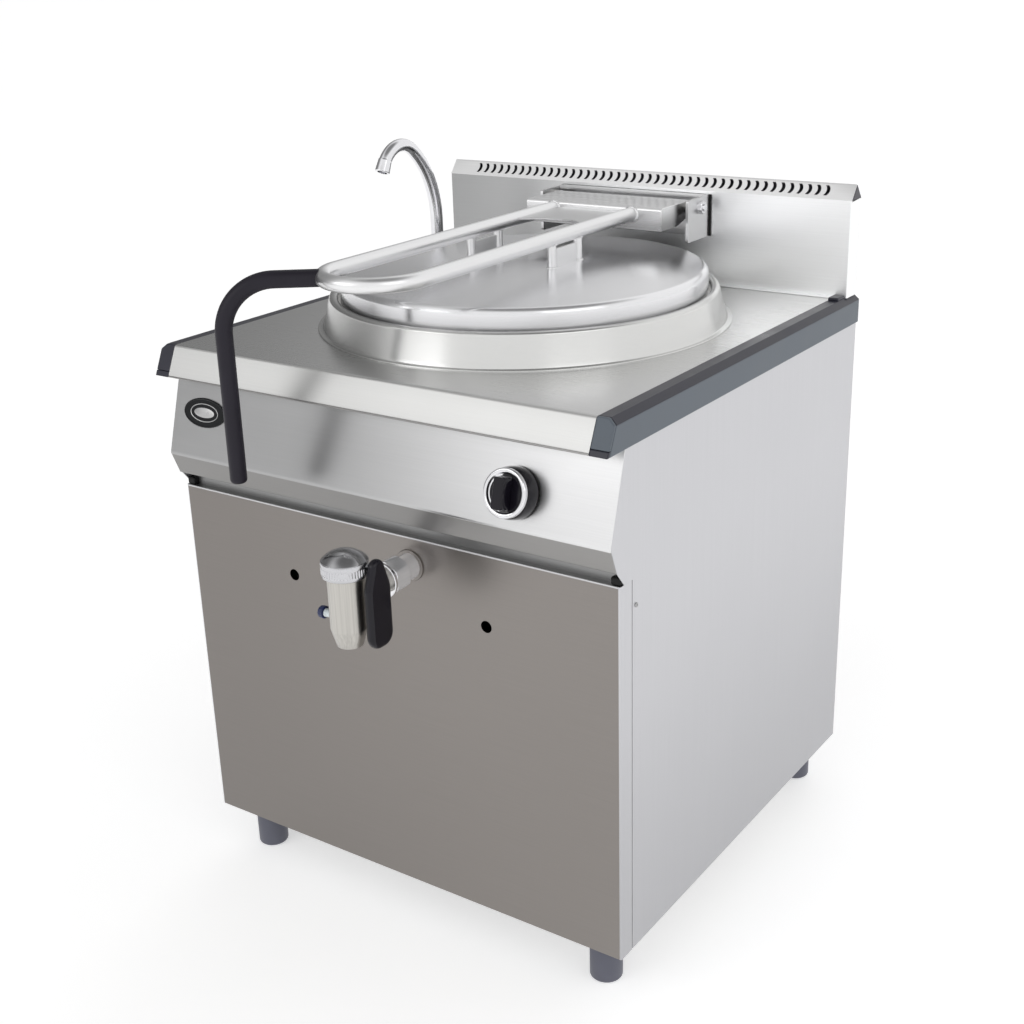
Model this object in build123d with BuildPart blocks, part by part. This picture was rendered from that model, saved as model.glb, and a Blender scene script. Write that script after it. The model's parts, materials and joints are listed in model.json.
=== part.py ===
from build123d import *
import os
from math import cos, radians, sin, sqrt

# Steam jacketed kettle: a gas boiling pan in a floor-standing cabinet.
# Millimetres. +Z is up, +X is to the right seen from the front, the front faces -Y.
# The origin is on the floor, at the middle of the whole outline.

os.makedirs("parts", exist_ok=True)

# ------------------------------------------------------------------ driving dimensions
# Module
module_width = 800.0       # over both edge trims
worktop_depth = 800.0      # front lower edge to the back of the flue
worktop_height = 900.0
worktop_edge = 46.0        # height of the worktop's front edge
worktop_overhang = 34.7    # front lower edge ahead of the front panel
worktop_lean = 21.3        # front upper edge set back from the lower one
worktop_sheet = 2.0
trim_width = 27.7
trim_proud = 2.8           # edge trim past the side panel
trim_bevel_side = 10.0
trim_bevel_top = 8.0
trim_stop_length = 26.0      # raised stop ahead of the flue
trim_stop_height = 5.0
trim_stop_radius = 2.0
leg_height = 83.0
rear_setback = 2.0         # body's back ahead of the worktop's
sheet = 1.5
seam = 0.8                 # open joint between neighbouring panels
touch = 0.1                # clearance of a pipe in the hole that it is welded into
running_fit = 0.05         # radial clearance of a shaft in its bore
seat_gap = 0.3             # left between a moving piece and what it rests on

# Front panel and control panel, measured down from the worktop's surface
control_face_bottom = 171.9
control_under_bottom = 209.1
front_panel_drop = 232.0
front_panel_return = 30.6
panel_bend_r = 3.0
control_nose = 24.9        # lower edge of the control panel ahead of the front panel
control_under_nose = 10.4  # rear edge of its underside ahead of the front panel
control_lean = radians(16.7)
rail_depth = 10.0
rail_setback = 12.0
sight_hole_r = 7.5
sight_hole_x = 180.0
sight_hole_drop = 341.0

# Pan
pan_ahead = 2.65           # pan's axis ahead of the middle between front panel and back
vessel_margin = 120.0      # vessel's bore inside half the worktop's depth
vessel_wall = 3.0
vessel_knuckle = 12.0
vessel_depth = 336.0
drain_rise = 3.0           # drain's bore above the vessel's floor
ledge_height = 44.0        # vessel flange above the worktop
ledge_width = 16.0
collar_base_width = 43.0   # vessel's bore to the cone's foot
collar_top_width = 24.6    # vessel's bore to the cone's top
collar_height = 50.6
collar_foot_width = 8.0
collar_sheet = 2.0
worktop_hole_margin = 5.0  # hole's edge inside the cone's foot
jacket_gap = 35.0
jacket_wall = 3.0
jacket_top_drop = 50.0     # worktop's surface to the jacket's closing ring
insulation_thickness = 20.0
insulation_margin = 6.0

# Lid
lid_overlap = 7.0          # skirt outside the vessel's bore
lid_sheet = 2.0
lid_skirt = 36.0
lid_edge_radius = 8.0
lid_crown = 12.0

# Lid frame
hinge_offset = 36.0        # hinge axis ahead of the flue's front
hinge_height = 135.0       # hinge axis above the worktop
arm_x = 75.0
arm_tube_r = 11.3
arm_tube_wall = 1.5
arm_overreach = 148.0      # front of the loop past the vessel's bore
post_r = 7.0
post_front = 33.0          # front posts ahead of the pan's axis
post_pitch = 73.0
post_plate_thickness = 4.0
post_plate_drop = 5.0
web_plate_thickness = 3.0
web_plate_length = 135.0
web_notch = 26.0
bar_half = 130.0
bar_sheet = 3.0
bar_below = 25.0
bar_above = 12.0
bar_reach = 105.0          # bar's front ahead of the hinge axis
bar_top_gap = 7.0          # bar's top plate stops this far ahead of the axis
hinge_eye_r = 11.0
hinge_pin_r = 6.0
bracket_half = 144.5
bracket_plate = 5.0
bracket_reach = 40.0       # end plates ahead of the hinge axis
bracket_below = 53.0
bracket_above = 16.0
bracket_cover_gap = 13.5   # cover strip behind the hinge axis
gasket_thickness = 3.0
gasket_margin = 3.0
hinge_nut_flats = 19.0
hinge_nut_height = 8.0
hinge_pin_end = 3.0

# Grip
grip_r = 12.3
grip_bend_r = 75.0
grip_x = -168.0
grip_ahead = 107.0         # grip's upright ahead of the front panel
grip_drop = 290.0
grip_root_angle = 225.0    # place of the grip's root round the loop's bend
grip_end_chamfer = 3.0

# Flue
flue_depth = 39.3
flue_inset = 6.0
flue_front_height = 156.0
flue_apex_height = 181.0
slot_pitch = 15.5
slot_width = 6.0
slot_share = 0.62          # slot length as a share of the slope
slot_margin_left = 54.0
slot_margin_right = 39.0
flue_duct_width = 300.0
flue_duct_depth = 24.0

# Burner and combustion chamber
chamber_margin = 22.0      # chamber's wall inside the jacket's
chamber_wall = 3.0
jacket_floor_gap = 47.0    # jacket floor below the vessel's floor
burner_inset = 110.0       # burner's ring inside the vessel's bore
burner_half_width = 16.0
burner_height = 32.0
burner_wall = 2.0
venturi_r = 13.0
burner_drop = 91.0         # burner's axis below the jacket
venturi_reach = 16.0       # venturi's mouth ahead of the chamber
burner_port_r = 3.0
burner_port_count = 24
air_arch_count = 10
air_arch_width = 70.0
air_arch_height = 60.0
outlet_stub_height = 70.0
outlet_stub_width = 200.0

# Tap
tap_x = 49.0
tap_reach = 138.0          # front panel to the spout's axis
drain_r = 16.85
drain_bore_r = 13.65
tap_flange_r = 30.0
tap_flange_thickness = 3.0
tap_flange_radius = 1.8
union_flats = 46.0
union_length = 32.0
union_gap = 12.0
union_crown = 1.6          # nut's corners turned down to this past its flats
tap_collar_r = 28.0
tap_collar_length = 6.0
tap_collar_gap = 5.0
tap_inlet_r = 20.0
spout_r = 26.0
spout_lip_r = 19.0
spout_below = 67.0         # spout's lip below the drain's axis
spout_taper = 26.0
spout_above = 37.0         # spout's top above the drain's axis
spout_mouth_r = 14.0
valve_chamber_r = 21.0
valve_seat_below = 19.0    # seat below the drain's axis
bonnet_r = 33.0
bonnet_band = 22.0
bonnet_dome = 15.0
bonnet_roof = 4.0
lever_shaft_r = 4.0
lever_shaft_above = 12.0   # lever's axis above the spout's top
lever_axis_behind = 16.0   # lever's axis behind the spout's axis
lever_boss_r = 9.0
crank_reach = 14.0
crank_r = 3.0
crank_thickness = 3.0
crank_play = 0.7           # between the crank's pin and each of the poppet's collars
crank_gap = 1.0
poppet_r = 17.5
poppet_thickness = 6.0
poppet_stem_r = 4.0
poppet_collar_r = 9.0
poppet_collar_thickness = 2.0
lever_gap = 0.8
lever_thickness = 14.0
lever_hub_r = 13.0
lever_half_width = 23.0
lever_length = 116.0
lever_shoulder = 40.0      # hub axis to the widest part
lever_corner = 9.0
lever_edge_radius = 4.2
cock_below = 29.0          # level cock below the drain's axis
cock_stem_r = 6.0
cock_stem_length = 15.0
cock_cap_r = 9.0
cock_cap_length = 9.0
cock_cap_radius = 2.7
cock_spigot_r = 3.0
cock_spigot_length = 5.0

# Faucet
faucet_inset = 70.0        # faucet's axis inside the module's side
faucet_ahead = 134.0       # faucet's axis ahead of the flue's front
faucet_flange_r = 24.0
faucet_flange_height = 5.0
faucet_body_r = 15.0
faucet_body_height = 28.0
faucet_socket = 22.0
faucet_shank_r = 10.0
faucet_shank_length = 35.0
faucet_nut_flats = 30.0
faucet_nut_height = 8.0
spout_tube_r = 9.0
spout_tube_bore_r = 7.5
spout_straight = 100.0
spout_rise_r = 165.0
spout_rise_angle = 50.0
spout_turn_r = 52.0
spout_turn_angle = 105.0
nozzle_r = 11.5
nozzle_length = 24.0
nozzle_overlap = 8.0

# Supply pipes
supply_inset = 125.0       # both inlets ahead of the back
pipe_drop = 23.0           # inlets below the base
pipe_run_height = 97.0     # level run above the base
pipe_bend_r = 12.0
pipe_entry = 15.0          # water pipe's length inside the faucet's shank
pipe_socket = 8.0          # gas pipes' length inside the valve
inlet_r = 10.5
inlet_length = 22.0
water_pipe_r = 6.0
water_bore_r = 5.0
gas_pipe_inset = 50.0      # gas inlet inside the module's side
gas_pipe_r = 8.0
gas_bore_r = 6.5
burner_pipe_offset = 47.0  # burner's pipe inside the knob's axis
burner_pipe_r = 5.0
burner_bore_r = 4.0

# Knob and gas valve, along the control panel's normal
knob_inset = 153.0         # knob's axis inside the module's side
knob_drop = 125.0
knob_push = 4.0
knob_gap = 0.6             # left under the knob when it is pushed in
knob_base_r = 36.0
knob_front_r = 34.0
knob_depth = 22.0
knob_ring_depth = 6.0
knob_ring_r = 33.5
knob_ring_bore_r = 24.0
knob_ring_radius = 3.6
knob_grip_width = 22.0
knob_grip_length = 46.0
knob_grip_depth = 16.0
knob_grip_corner = 5.0
knob_wall = 5.0
knob_hub_r = 8.0
knob_hub_depth = 16.0
spindle_r = 4.0
spindle_square = 5.6
spindle_square_length = 20.0
rotor_r = 9.0
rotor_length = 48.0
valve_neck_r = 14.0
valve_neck = 12.0
valve_wall = 5.0
valve_half_width = 20.0
valve_half_height = 24.0
valve_length = 64.0
valve_port_depth = 42.0    # ports behind the neck
valve_port_r = 3.5

# Badge, feet and screws
badge_inset = 67.0         # badge's middle inside the module's side
badge_drop = 104.0
badge_half_length = 39.0
badge_half_height = 21.0
badge_thickness = 2.5
badge_rim = 3.0
foot_r = 25.0
foot_inset = 61.0          # foot axis inside the module's side
foot_front = 54.0          # foot axis behind the front panel
foot_back = 35.0           # foot axis ahead of the module's back
foot_stem_r = 5.0
foot_stem_length = 28.0
foot_edge_radius = 5.0
socket_r = 14.0
socket_plate = 54.0
socket_plate_thickness = 3.0
socket_height = 26.0
screw_head_r = 3.5
screw_head_height = 1.8
side_screw_setback = 41.0
side_screw_drop = 272.0
back_screw_rows = 4

# ------------------------------------------------------------------ places worked out
overall_depth = worktop_depth - worktop_overhang + tap_reach + bonnet_r
panel_y = -overall_depth / 2 + tap_reach + bonnet_r      # front panel's outer face
back_y = overall_depth / 2
body_back_y = back_y - rear_setback
body_half = module_width / 2 - trim_proud
top_half = module_width / 2 - trim_width
floor_z = leg_height
top_z = worktop_height
edge_z = top_z - worktop_edge
front_panel_z = top_z - front_panel_drop
flue_y = back_y - flue_depth                             # flue's front face
pan_y = (panel_y + back_y) / 2 - pan_ahead
pan_setback = pan_y - panel_y
pan_axis = Axis((0, pan_y, 0), (0, 0, 1))
pan_plane = Plane(origin=(0, pan_y, 0), x_dir=(1, 0, 0), z_dir=(0, -1, 0))

ledge_z = top_z + ledge_height
vessel_r = worktop_depth / 2 - vessel_margin
collar_base_r = vessel_r + collar_base_width
collar_top_r = vessel_r + collar_top_width
worktop_hole_r = collar_base_r - worktop_hole_margin
vessel_floor_z = ledge_z - vessel_depth
vessel_outer_r = vessel_r + vessel_wall
flange_r = vessel_r + ledge_width
rim_z = top_z + collar_height
jacket_outer_r = vessel_outer_r + jacket_gap
jacket_floor_z = vessel_floor_z - jacket_floor_gap
jacket_top_z = top_z - jacket_top_drop
insulation_r = jacket_outer_r + touch + insulation_thickness
tray_top_z = floor_z + sheet

drain_z = vessel_floor_z + drain_bore_r + drain_rise
spout_y = panel_y - tap_reach
spout_top_z = drain_z + spout_above
lever_y = spout_y + lever_axis_behind
lever_z = spout_top_z + lever_shaft_above

hinge_y = flue_y - hinge_offset
hinge_z = top_z + hinge_height
hinge_plane = Plane(origin=(0, hinge_y, hinge_z), x_dir=(0, 1, 0), z_dir=(1, 0, 0))
bar_front_y = hinge_y - bar_reach
loop_y = pan_y - vessel_r - arm_overreach + arm_x                       # centre of the loop's bend
lid_r = vessel_r + lid_overlap
lid_base_z = ledge_z + seat_gap
lid_top_z = lid_base_z + lid_skirt
crown_z = lid_top_z + lid_crown

faucet_x = faucet_inset - module_width / 2
faucet_y = flue_y - faucet_ahead
knob_x = module_width / 2 - knob_inset
badge_x = badge_inset - module_width / 2
gas_pipe_x = module_width / 2 - gas_pipe_inset
burner_pipe_x = knob_x - burner_pipe_offset
supply_y = back_y - supply_inset
chamber_r = jacket_outer_r - chamber_margin
burner_r = vessel_r - burner_inset
burner_z = jacket_floor_z - burner_drop
venturi_mouth_y = pan_y - chamber_r - venturi_reach


def control_face_y(height):
    """Y of the control panel's outer face at a height."""
    lower_z = top_z - control_face_bottom
    return panel_y - control_nose + (height - lower_z) * sin(control_lean) / cos(control_lean)


def control_plane(x, drop):
    """A plane on the control panel's face: local Y runs up the face, local Z out of it."""
    height = top_z - drop
    return Plane(
        origin=(x, control_face_y(height), height),
        x_dir=(1, 0, 0),
        z_dir=(0, -cos(control_lean), sin(control_lean)),
    )


def start_plane(route):
    """The plane square to the start of a route."""
    wire = route.wire()
    return Plane(origin=wire @ 0, z_dir=wire % 0)


def dome_arc(span, low_z, rise):
    """An arc from a dome's rim up to its top, centred on the dome's axis."""
    dome_r = (span ** 2 + rise ** 2) / (2 * rise)
    half_z = low_z + rise - dome_r + sqrt(dome_r ** 2 - (span / 2) ** 2)
    return ThreePointArc((span, low_z), (span / 2, half_z), (0, low_z + rise))


def supply_pipe(points, outer_r, bore_r):
    """A bent pipe that rises from a threaded inlet at the first of its corner points."""
    with BuildPart() as pipe:
        with BuildLine() as route:
            FilletPolyline(*points, radius=pipe_bend_r)
        with BuildSketch(start_plane(route)):
            Circle(outer_r)
            Circle(bore_r, mode=Mode.SUBTRACT)
        sweep()
        with BuildSketch(start_plane(route)):
            Circle(inlet_r)
            Circle(bore_r, mode=Mode.SUBTRACT)
        extrude(amount=inlet_length)
    return pipe


knob_plane = control_plane(knob_x, knob_drop)
pieces = {}

# ------------------------------------------------------------------ cabinet
# Base tray: floor pan with an upturned edge, an air opening and four leg holes
foot_x = module_width / 2 - foot_inset
foot_front_y = panel_y + foot_front
foot_back_y = back_y - foot_back
foot_spots = [(x, y) for y in (foot_front_y, foot_back_y) for x in (-foot_x, foot_x)]
foot_names = ["foot_front_left", "foot_front_right", "foot_rear_left", "foot_rear_right"]
tray_half = body_half - sheet
tray_front_y = panel_y + sheet
tray_back_y = body_back_y - 2 * sheet
tray_edge = 25.0
air_opening_r = 200.0
leg_hole_clearance = 1.5

with BuildPart() as base_tray:
    tray_y = (tray_front_y + tray_back_y) / 2
    with BuildSketch(Plane.XY.offset(floor_z)):
        with Locations((0, tray_y)):
            Rectangle(2 * tray_half, tray_back_y - tray_front_y)
    extrude(amount=tray_edge)
    fillet(base_tray.edges().filter_by(Axis.Z), panel_bend_r)
    offset(amount=-sheet, openings=base_tray.faces().sort_by(Axis.Z)[-1])
    with BuildSketch(Plane.XY.offset(floor_z)):
        with Locations((0, pan_y)):
            Circle(air_opening_r)
        with Locations(*foot_spots):
            Circle(foot_stem_r + leg_hole_clearance)
        with Locations((gas_pipe_x, supply_y)):
            Circle(gas_pipe_r + touch)
        with Locations((faucet_x, supply_y)):
            Circle(water_pipe_r + touch)
    extrude(amount=sheet, mode=Mode.SUBTRACT)
pieces["base_tray"] = base_tray

# Leg sockets: a plate and a threaded boss over each leg hole
with BuildPart() as leg_sockets:
    with BuildSketch(Plane.XY.offset(tray_top_z)):
        with Locations(*foot_spots):
            RectangleRounded(socket_plate, socket_plate, socket_r / 2)
    extrude(amount=socket_plate_thickness)
    with BuildSketch(Plane.XY.offset(tray_top_z)):
        with Locations(*foot_spots):
            Circle(socket_r)
    extrude(amount=socket_height)
    with BuildSketch(Plane.XY.offset(tray_top_z)):
        with Locations(*foot_spots):
            Circle(foot_stem_r + running_fit)
    extrude(amount=socket_height, mode=Mode.SUBTRACT)
pieces["leg_sockets"] = leg_sockets

# Side panels: their front edge follows the control panel
control_lower_z = top_z - control_face_bottom
control_under_z = top_z - control_under_bottom
side_flange = 18.0
side_inset = sheet + seam


def side_panel(side):
    """A side panel with a flange turned in along its foot; side is -1 or 1."""
    outer_x = side * body_half
    inner_x = outer_x - side * sheet
    with BuildPart() as panel:
        with BuildSketch(Plane.YZ.offset(inner_x)):
            with BuildLine():
                Polyline(
                    (body_back_y, floor_z),
                    (body_back_y, edge_z),
                    (control_face_y(edge_z) + side_inset, edge_z),
                    (panel_y - control_nose + side_inset, control_lower_z),
                    (panel_y - control_under_nose + side_inset, control_under_z),
                    (panel_y + control_under_nose, front_panel_z + seam),
                    (panel_y + front_panel_return + seam, front_panel_z + seam),
                    (panel_y + front_panel_return + seam, floor_z),
                    close=True,
                )
            make_face()
        extrude(amount=side * sheet)
        with BuildSketch(Plane.XZ.offset(-body_back_y)):
            with Locations((inner_x - side * side_flange / 2, (tray_top_z + tray_edge + edge_z) / 2)):
                Rectangle(side_flange, edge_z - tray_top_z - tray_edge)
        extrude(amount=sheet)
    return panel


side_panel_left = side_panel(-1)
side_panel_right = side_panel(1)
pieces["side_panel_left"] = side_panel_left
pieces["side_panel_right"] = side_panel_right

# Rear panel, behind the tray and in front of the side panels' flanges
vent_width = 60.0
vent_height = 5.0
vent_pitch_x = 90.0
vent_pitch_z = 15.0
vent_columns = 5
vent_rows = 6
with BuildPart() as rear_panel:
    with BuildSketch(Plane.XZ.offset(-(body_back_y - sheet))):
        with Locations((0, (floor_z + edge_z) / 2)):
            Rectangle(2 * (body_half - sheet), edge_z - floor_z)
        with Locations((0, floor_z + (edge_z - floor_z) / 4)):
            with GridLocations(vent_pitch_x, vent_pitch_z, vent_columns, vent_rows):
                Rectangle(vent_width, vent_height, mode=Mode.SUBTRACT)
    extrude(amount=sheet)
pieces["rear_panel"] = rear_panel

# Front panel: a shallow tray with a return along its top and both sides, open below and behind
with BuildPart() as front_panel:
    with BuildSketch(Plane.XZ.offset(-panel_y)):
        with Locations((0, (floor_z + front_panel_z) / 2)):
            Rectangle(2 * body_half, front_panel_z - floor_z)
    extrude(amount=-front_panel_return)
    fillet(front_panel.edges().filter_by(Axis.Z).group_by(Axis.Y)[0], panel_bend_r)
    offset(
        amount=-sheet,
        openings=[front_panel.faces().sort_by(Axis.Y)[-1], front_panel.faces().sort_by(Axis.Z)[0]],
    )
    with BuildSketch(Plane.XZ.offset(-panel_y)):
        with Locations((tap_x, drain_z)):
            Circle(drain_r + 2 * sheet)
        with Locations((-sight_hole_x, top_z - sight_hole_drop), (sight_hole_x, top_z - sight_hole_drop)):
            Circle(sight_hole_r)
    extrude(amount=-sheet, mode=Mode.SUBTRACT)
pieces["front_panel"] = front_panel

# Control panel: one bent sheet, face, underside and a return to the rail
with BuildPart() as control_panel:
    with BuildSketch(Plane.YZ.offset(-body_half)):
        with BuildLine() as control_outline:
            Polyline(
                (control_face_y(edge_z), edge_z),
                (panel_y - control_nose, control_lower_z),
                (panel_y - control_under_nose, control_under_z),
                (panel_y + rail_setback, control_under_z),
            )
            offset(amount=sheet, side=Side.LEFT)
        make_face()
    extrude(amount=2 * body_half)
    with BuildSketch(knob_plane):
        Circle(spindle_r + 2 * sheet)
    extrude(amount=-2 * sheet, mode=Mode.SUBTRACT)
    with BuildSketch(Plane.XY.offset(control_under_z)):
        with Locations((-body_half, panel_y + rail_setback), (body_half, panel_y + rail_setback)):
            Rectangle(2 * (sheet + touch), 2 * (rail_setback + control_under_nose - side_inset))
    extrude(amount=2 * sheet, mode=Mode.SUBTRACT)
pieces["control_panel"] = control_panel

# Cross rail: the recessed channel between the control panel and the front panel
with BuildPart() as cross_rail:
    with BuildSketch(Plane.YZ.offset(-tray_half)):
        with Locations((panel_y + rail_setback + rail_depth / 2, (front_panel_z + control_under_z + sheet) / 2)):
            Rectangle(rail_depth, control_under_z + sheet - front_panel_z)
    extrude(amount=2 * tray_half)
    offset(amount=-sheet, openings=cross_rail.faces().sort_by(Axis.Y)[-1])
pieces["cross_rail"] = cross_rail

# Worktop: an inverted tray with a leaning front edge, the pan's hole and the flue's slot
worktop_front_y = panel_y - worktop_overhang
with BuildPart() as worktop:
    with BuildSketch(Plane.YZ.offset(-top_half)):
        with BuildLine():
            Polyline(
                (worktop_front_y, edge_z),
                (worktop_front_y + worktop_lean, top_z),
                (back_y, top_z),
                (back_y, edge_z),
                close=True,
            )
        make_face()
    extrude(amount=2 * top_half)
    offset(amount=-worktop_sheet, openings=worktop.faces().sort_by(Axis.Z)[0])
    with BuildSketch(Plane.XZ.offset(-(worktop_front_y + worktop_sheet))):
        with Locations((0, edge_z + worktop_sheet / 2)):
            Rectangle(2 * (top_half - worktop_sheet), worktop_sheet)
    extrude(amount=-(control_face_y(edge_z) - worktop_front_y))
    with BuildSketch(Plane.XY.offset(top_z)):
        with Locations((0, pan_y)):
            Circle(worktop_hole_r)
        with Locations((0, (flue_y + back_y) / 2)):
            Rectangle(flue_duct_width, flue_duct_depth)
        with Locations((faucet_x, faucet_y)):
            Circle(faucet_shank_r + seam)
    extrude(amount=-worktop_sheet, mode=Mode.SUBTRACT)
pieces["worktop"] = worktop


def edge_trim(side):
    """A bevelled edge trim with a leaning front end and a stop at the flue's front."""
    with BuildPart() as trim:
        with BuildSketch(Plane.YZ.offset(side * top_half)):
            with BuildLine():
                Polyline(
                    (worktop_front_y, edge_z),
                    (worktop_front_y + worktop_lean, top_z),
                    (back_y, top_z),
                    (back_y, edge_z),
                    close=True,
                )
            make_face()
        extrude(amount=side * trim_width)
        outer_edges = trim.edges().filter_by(Axis.Y).group_by(Axis.Z)[-1].sort_by(Axis.X)
        bevel_edge = outer_edges[-1] if side > 0 else outer_edges[0]
        top_face = trim.faces().sort_by(Axis.Z)[-1]
        chamfer(bevel_edge, trim_bevel_side, trim_bevel_top, reference=top_face)
        with BuildSketch(Plane.XY.offset(top_z)):
            with Locations((side * (top_half + (trim_width - trim_bevel_side) / 2), flue_y - trim_stop_length / 2)):
                Rectangle(trim_width - trim_bevel_side, trim_stop_length)
        extrude(amount=trim_stop_height)
        fillet(trim.edges().group_by(Axis.Z)[-1], trim_stop_radius)
    return trim


edge_trim_left = edge_trim(-1)
edge_trim_right = edge_trim(1)
pieces["edge_trim_left"] = edge_trim_left
pieces["edge_trim_right"] = edge_trim_right

# ------------------------------------------------------------------ pan
# Collar: a cone of sheet from its foot on the worktop up to a rolled rim and down inside
collar_inner_r = flange_r + collar_sheet
rim_roll_r = 3.0
with BuildPart() as pan_collar:
    with BuildSketch(pan_plane):
        with BuildLine():
            Polyline(
                (collar_base_r + collar_foot_width, top_z),
                (collar_base_r + collar_foot_width, top_z + collar_sheet),
                (collar_base_r, top_z + collar_sheet),
                (collar_top_r, rim_z - rim_roll_r),
            )
            ThreePointArc(
                (collar_top_r, rim_z - rim_roll_r),
                ((collar_top_r + flange_r) / 2, rim_z),
                (flange_r, rim_z - rim_roll_r),
            )
            Polyline(
                (flange_r, rim_z - rim_roll_r),
                (flange_r, ledge_z - vessel_wall),
                (collar_inner_r, ledge_z - vessel_wall),
                (collar_inner_r, rim_z - rim_roll_r - collar_sheet),
                (collar_top_r - collar_sheet, rim_z - rim_roll_r - collar_sheet),
                (collar_base_r - collar_sheet, top_z),
                (collar_base_r + collar_foot_width, top_z),
            )
        make_face()
    revolve(axis=pan_axis)
pieces["pan_collar"] = pan_collar

# Drain hole and pipe places, shared by every wall that the drain passes
drain_plane = Plane(origin=(tap_x, pan_y, drain_z), x_dir=(1, 0, 0), z_dir=(0, -1, 0))

# Vessel: a flat-bottomed pan whose flange is the ledge under the lid
with BuildPart() as pan_vessel:
    with BuildSketch(pan_plane):
        with BuildLine():
            Polyline(
                (0, vessel_floor_z - vessel_wall),
                (vessel_outer_r, vessel_floor_z - vessel_wall),
                (vessel_outer_r, ledge_z - vessel_wall),
                (flange_r, ledge_z - vessel_wall),
                (flange_r, ledge_z),
                (vessel_r, ledge_z),
                (vessel_r, vessel_floor_z),
                (0, vessel_floor_z),
                close=True,
            )
        make_face()
    revolve(axis=pan_axis)
    fillet(pan_vessel.edges().filter_by(GeomType.CIRCLE).group_by(Axis.Z)[1], vessel_knuckle)
    fillet(pan_vessel.edges().filter_by(GeomType.CIRCLE).group_by(Axis.Z)[0], vessel_knuckle + vessel_wall)
    with BuildSketch(drain_plane):
        Circle(drain_bore_r)
    extrude(amount=2 * vessel_outer_r, mode=Mode.SUBTRACT)
pieces["pan_vessel"] = pan_vessel

# Steam jacket: a second wall round the vessel, closed by a ring below the worktop
with BuildPart() as steam_jacket:
    with BuildSketch(pan_plane):
        with BuildLine():
            Polyline(
                (0, jacket_floor_z),
                (jacket_outer_r, jacket_floor_z),
                (jacket_outer_r, jacket_top_z),
                (vessel_outer_r + touch, jacket_top_z),
                (vessel_outer_r + touch, jacket_top_z - jacket_wall),
                (jacket_outer_r - jacket_wall, jacket_top_z - jacket_wall),
                (jacket_outer_r - jacket_wall, jacket_floor_z + jacket_wall),
                (0, jacket_floor_z + jacket_wall),
                close=True,
            )
        make_face()
    revolve(axis=pan_axis)
    with BuildSketch(drain_plane):
        Circle(drain_r + touch)
    extrude(amount=2 * jacket_outer_r, mode=Mode.SUBTRACT)
pieces["steam_jacket"] = steam_jacket

# Insulation: a mineral wool wrap round the jacket's wall
with BuildPart() as jacket_insulation:
    with BuildSketch(Plane.XY.offset(jacket_floor_z + insulation_margin)):
        with Locations((0, pan_y)):
            Circle(insulation_r)
            Circle(jacket_outer_r + touch, mode=Mode.SUBTRACT)
    extrude(amount=jacket_top_z - jacket_floor_z - 2 * insulation_margin)
    with BuildSketch(drain_plane):
        Circle(drain_r + seam)
    extrude(amount=2 * insulation_r, mode=Mode.SUBTRACT)
pieces["jacket_insulation"] = jacket_insulation

# ------------------------------------------------------------------ heating
# Combustion chamber: a round shroud from the base tray to the jacket, arched for air
duct_front_y = (flue_y + back_y) / 2 - flue_duct_depth / 2
burner_plane = Plane(origin=(0, pan_y, burner_z), x_dir=(1, 0, 0), z_dir=(0, -1, 0))
stub_plane = Plane(
    origin=(0, pan_y, jacket_floor_z - outlet_stub_height / 2 - chamber_wall),
    x_dir=(-1, 0, 0),
    z_dir=(0, 1, 0),
)
with BuildPart() as combustion_chamber:
    with BuildSketch(Plane.XY.offset(tray_top_z)):
        with Locations((0, pan_y)):
            Circle(chamber_r)
            Circle(chamber_r - chamber_wall, mode=Mode.SUBTRACT)
    extrude(amount=jacket_floor_z - tray_top_z)
    with BuildSketch(burner_plane):
        Circle(venturi_r + touch)
    extrude(amount=2 * chamber_r, mode=Mode.SUBTRACT)
    with BuildSketch(stub_plane):
        Rectangle(outlet_stub_width - 2 * chamber_wall, outlet_stub_height - 2 * chamber_wall)
    extrude(amount=2 * chamber_r, mode=Mode.SUBTRACT)
    for turn in range(air_arch_count):
        arch_angle = 360 / air_arch_count * (turn + 0.5)
        arch_plane = Plane(
            origin=(0, pan_y, tray_top_z),
            x_dir=(-sin(radians(arch_angle)), cos(radians(arch_angle)), 0),
            z_dir=(cos(radians(arch_angle)), sin(radians(arch_angle)), 0),
        )
        with BuildSketch(arch_plane):
            Rectangle(air_arch_width, 2 * air_arch_height)
        extrude(amount=2 * chamber_r, mode=Mode.SUBTRACT)
pieces["combustion_chamber"] = combustion_chamber

# Flue duct: a stub from the chamber and a flat riser up into the flue housing
riser_low_z = jacket_floor_z - outlet_stub_height - chamber_wall
riser_top_z = top_z + chamber_wall
with BuildPart() as flue_duct:
    with BuildSketch(stub_plane):
        Rectangle(outlet_stub_width, outlet_stub_height)
    extrude(amount=duct_front_y - pan_y + chamber_wall)
    with BuildSketch(Plane.XY.offset(riser_low_z)):
        with Locations((0, duct_front_y + flue_duct_depth / 2)):
            Rectangle(flue_duct_width - 2 * touch, flue_duct_depth - 2 * touch)
    extrude(amount=riser_top_z - riser_low_z)
    with BuildSketch(stub_plane):
        Rectangle(outlet_stub_width - 2 * sheet, outlet_stub_height - 2 * sheet)
    extrude(amount=duct_front_y - pan_y + 2 * chamber_wall, mode=Mode.SUBTRACT)
    with BuildSketch(Plane.XY.offset(riser_low_z + sheet)):
        with Locations((0, duct_front_y + flue_duct_depth / 2)):
            Rectangle(flue_duct_width - 2 * sheet, flue_duct_depth - 2 * sheet)
    extrude(amount=riser_top_z - riser_low_z, mode=Mode.SUBTRACT)
    with BuildSketch(Plane.XY.offset(tray_top_z)):
        with Locations((0, pan_y)):
            Circle(chamber_r + touch)
    extrude(amount=jacket_floor_z - tray_top_z, mode=Mode.SUBTRACT)
pieces["flue_duct"] = flue_duct

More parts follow.
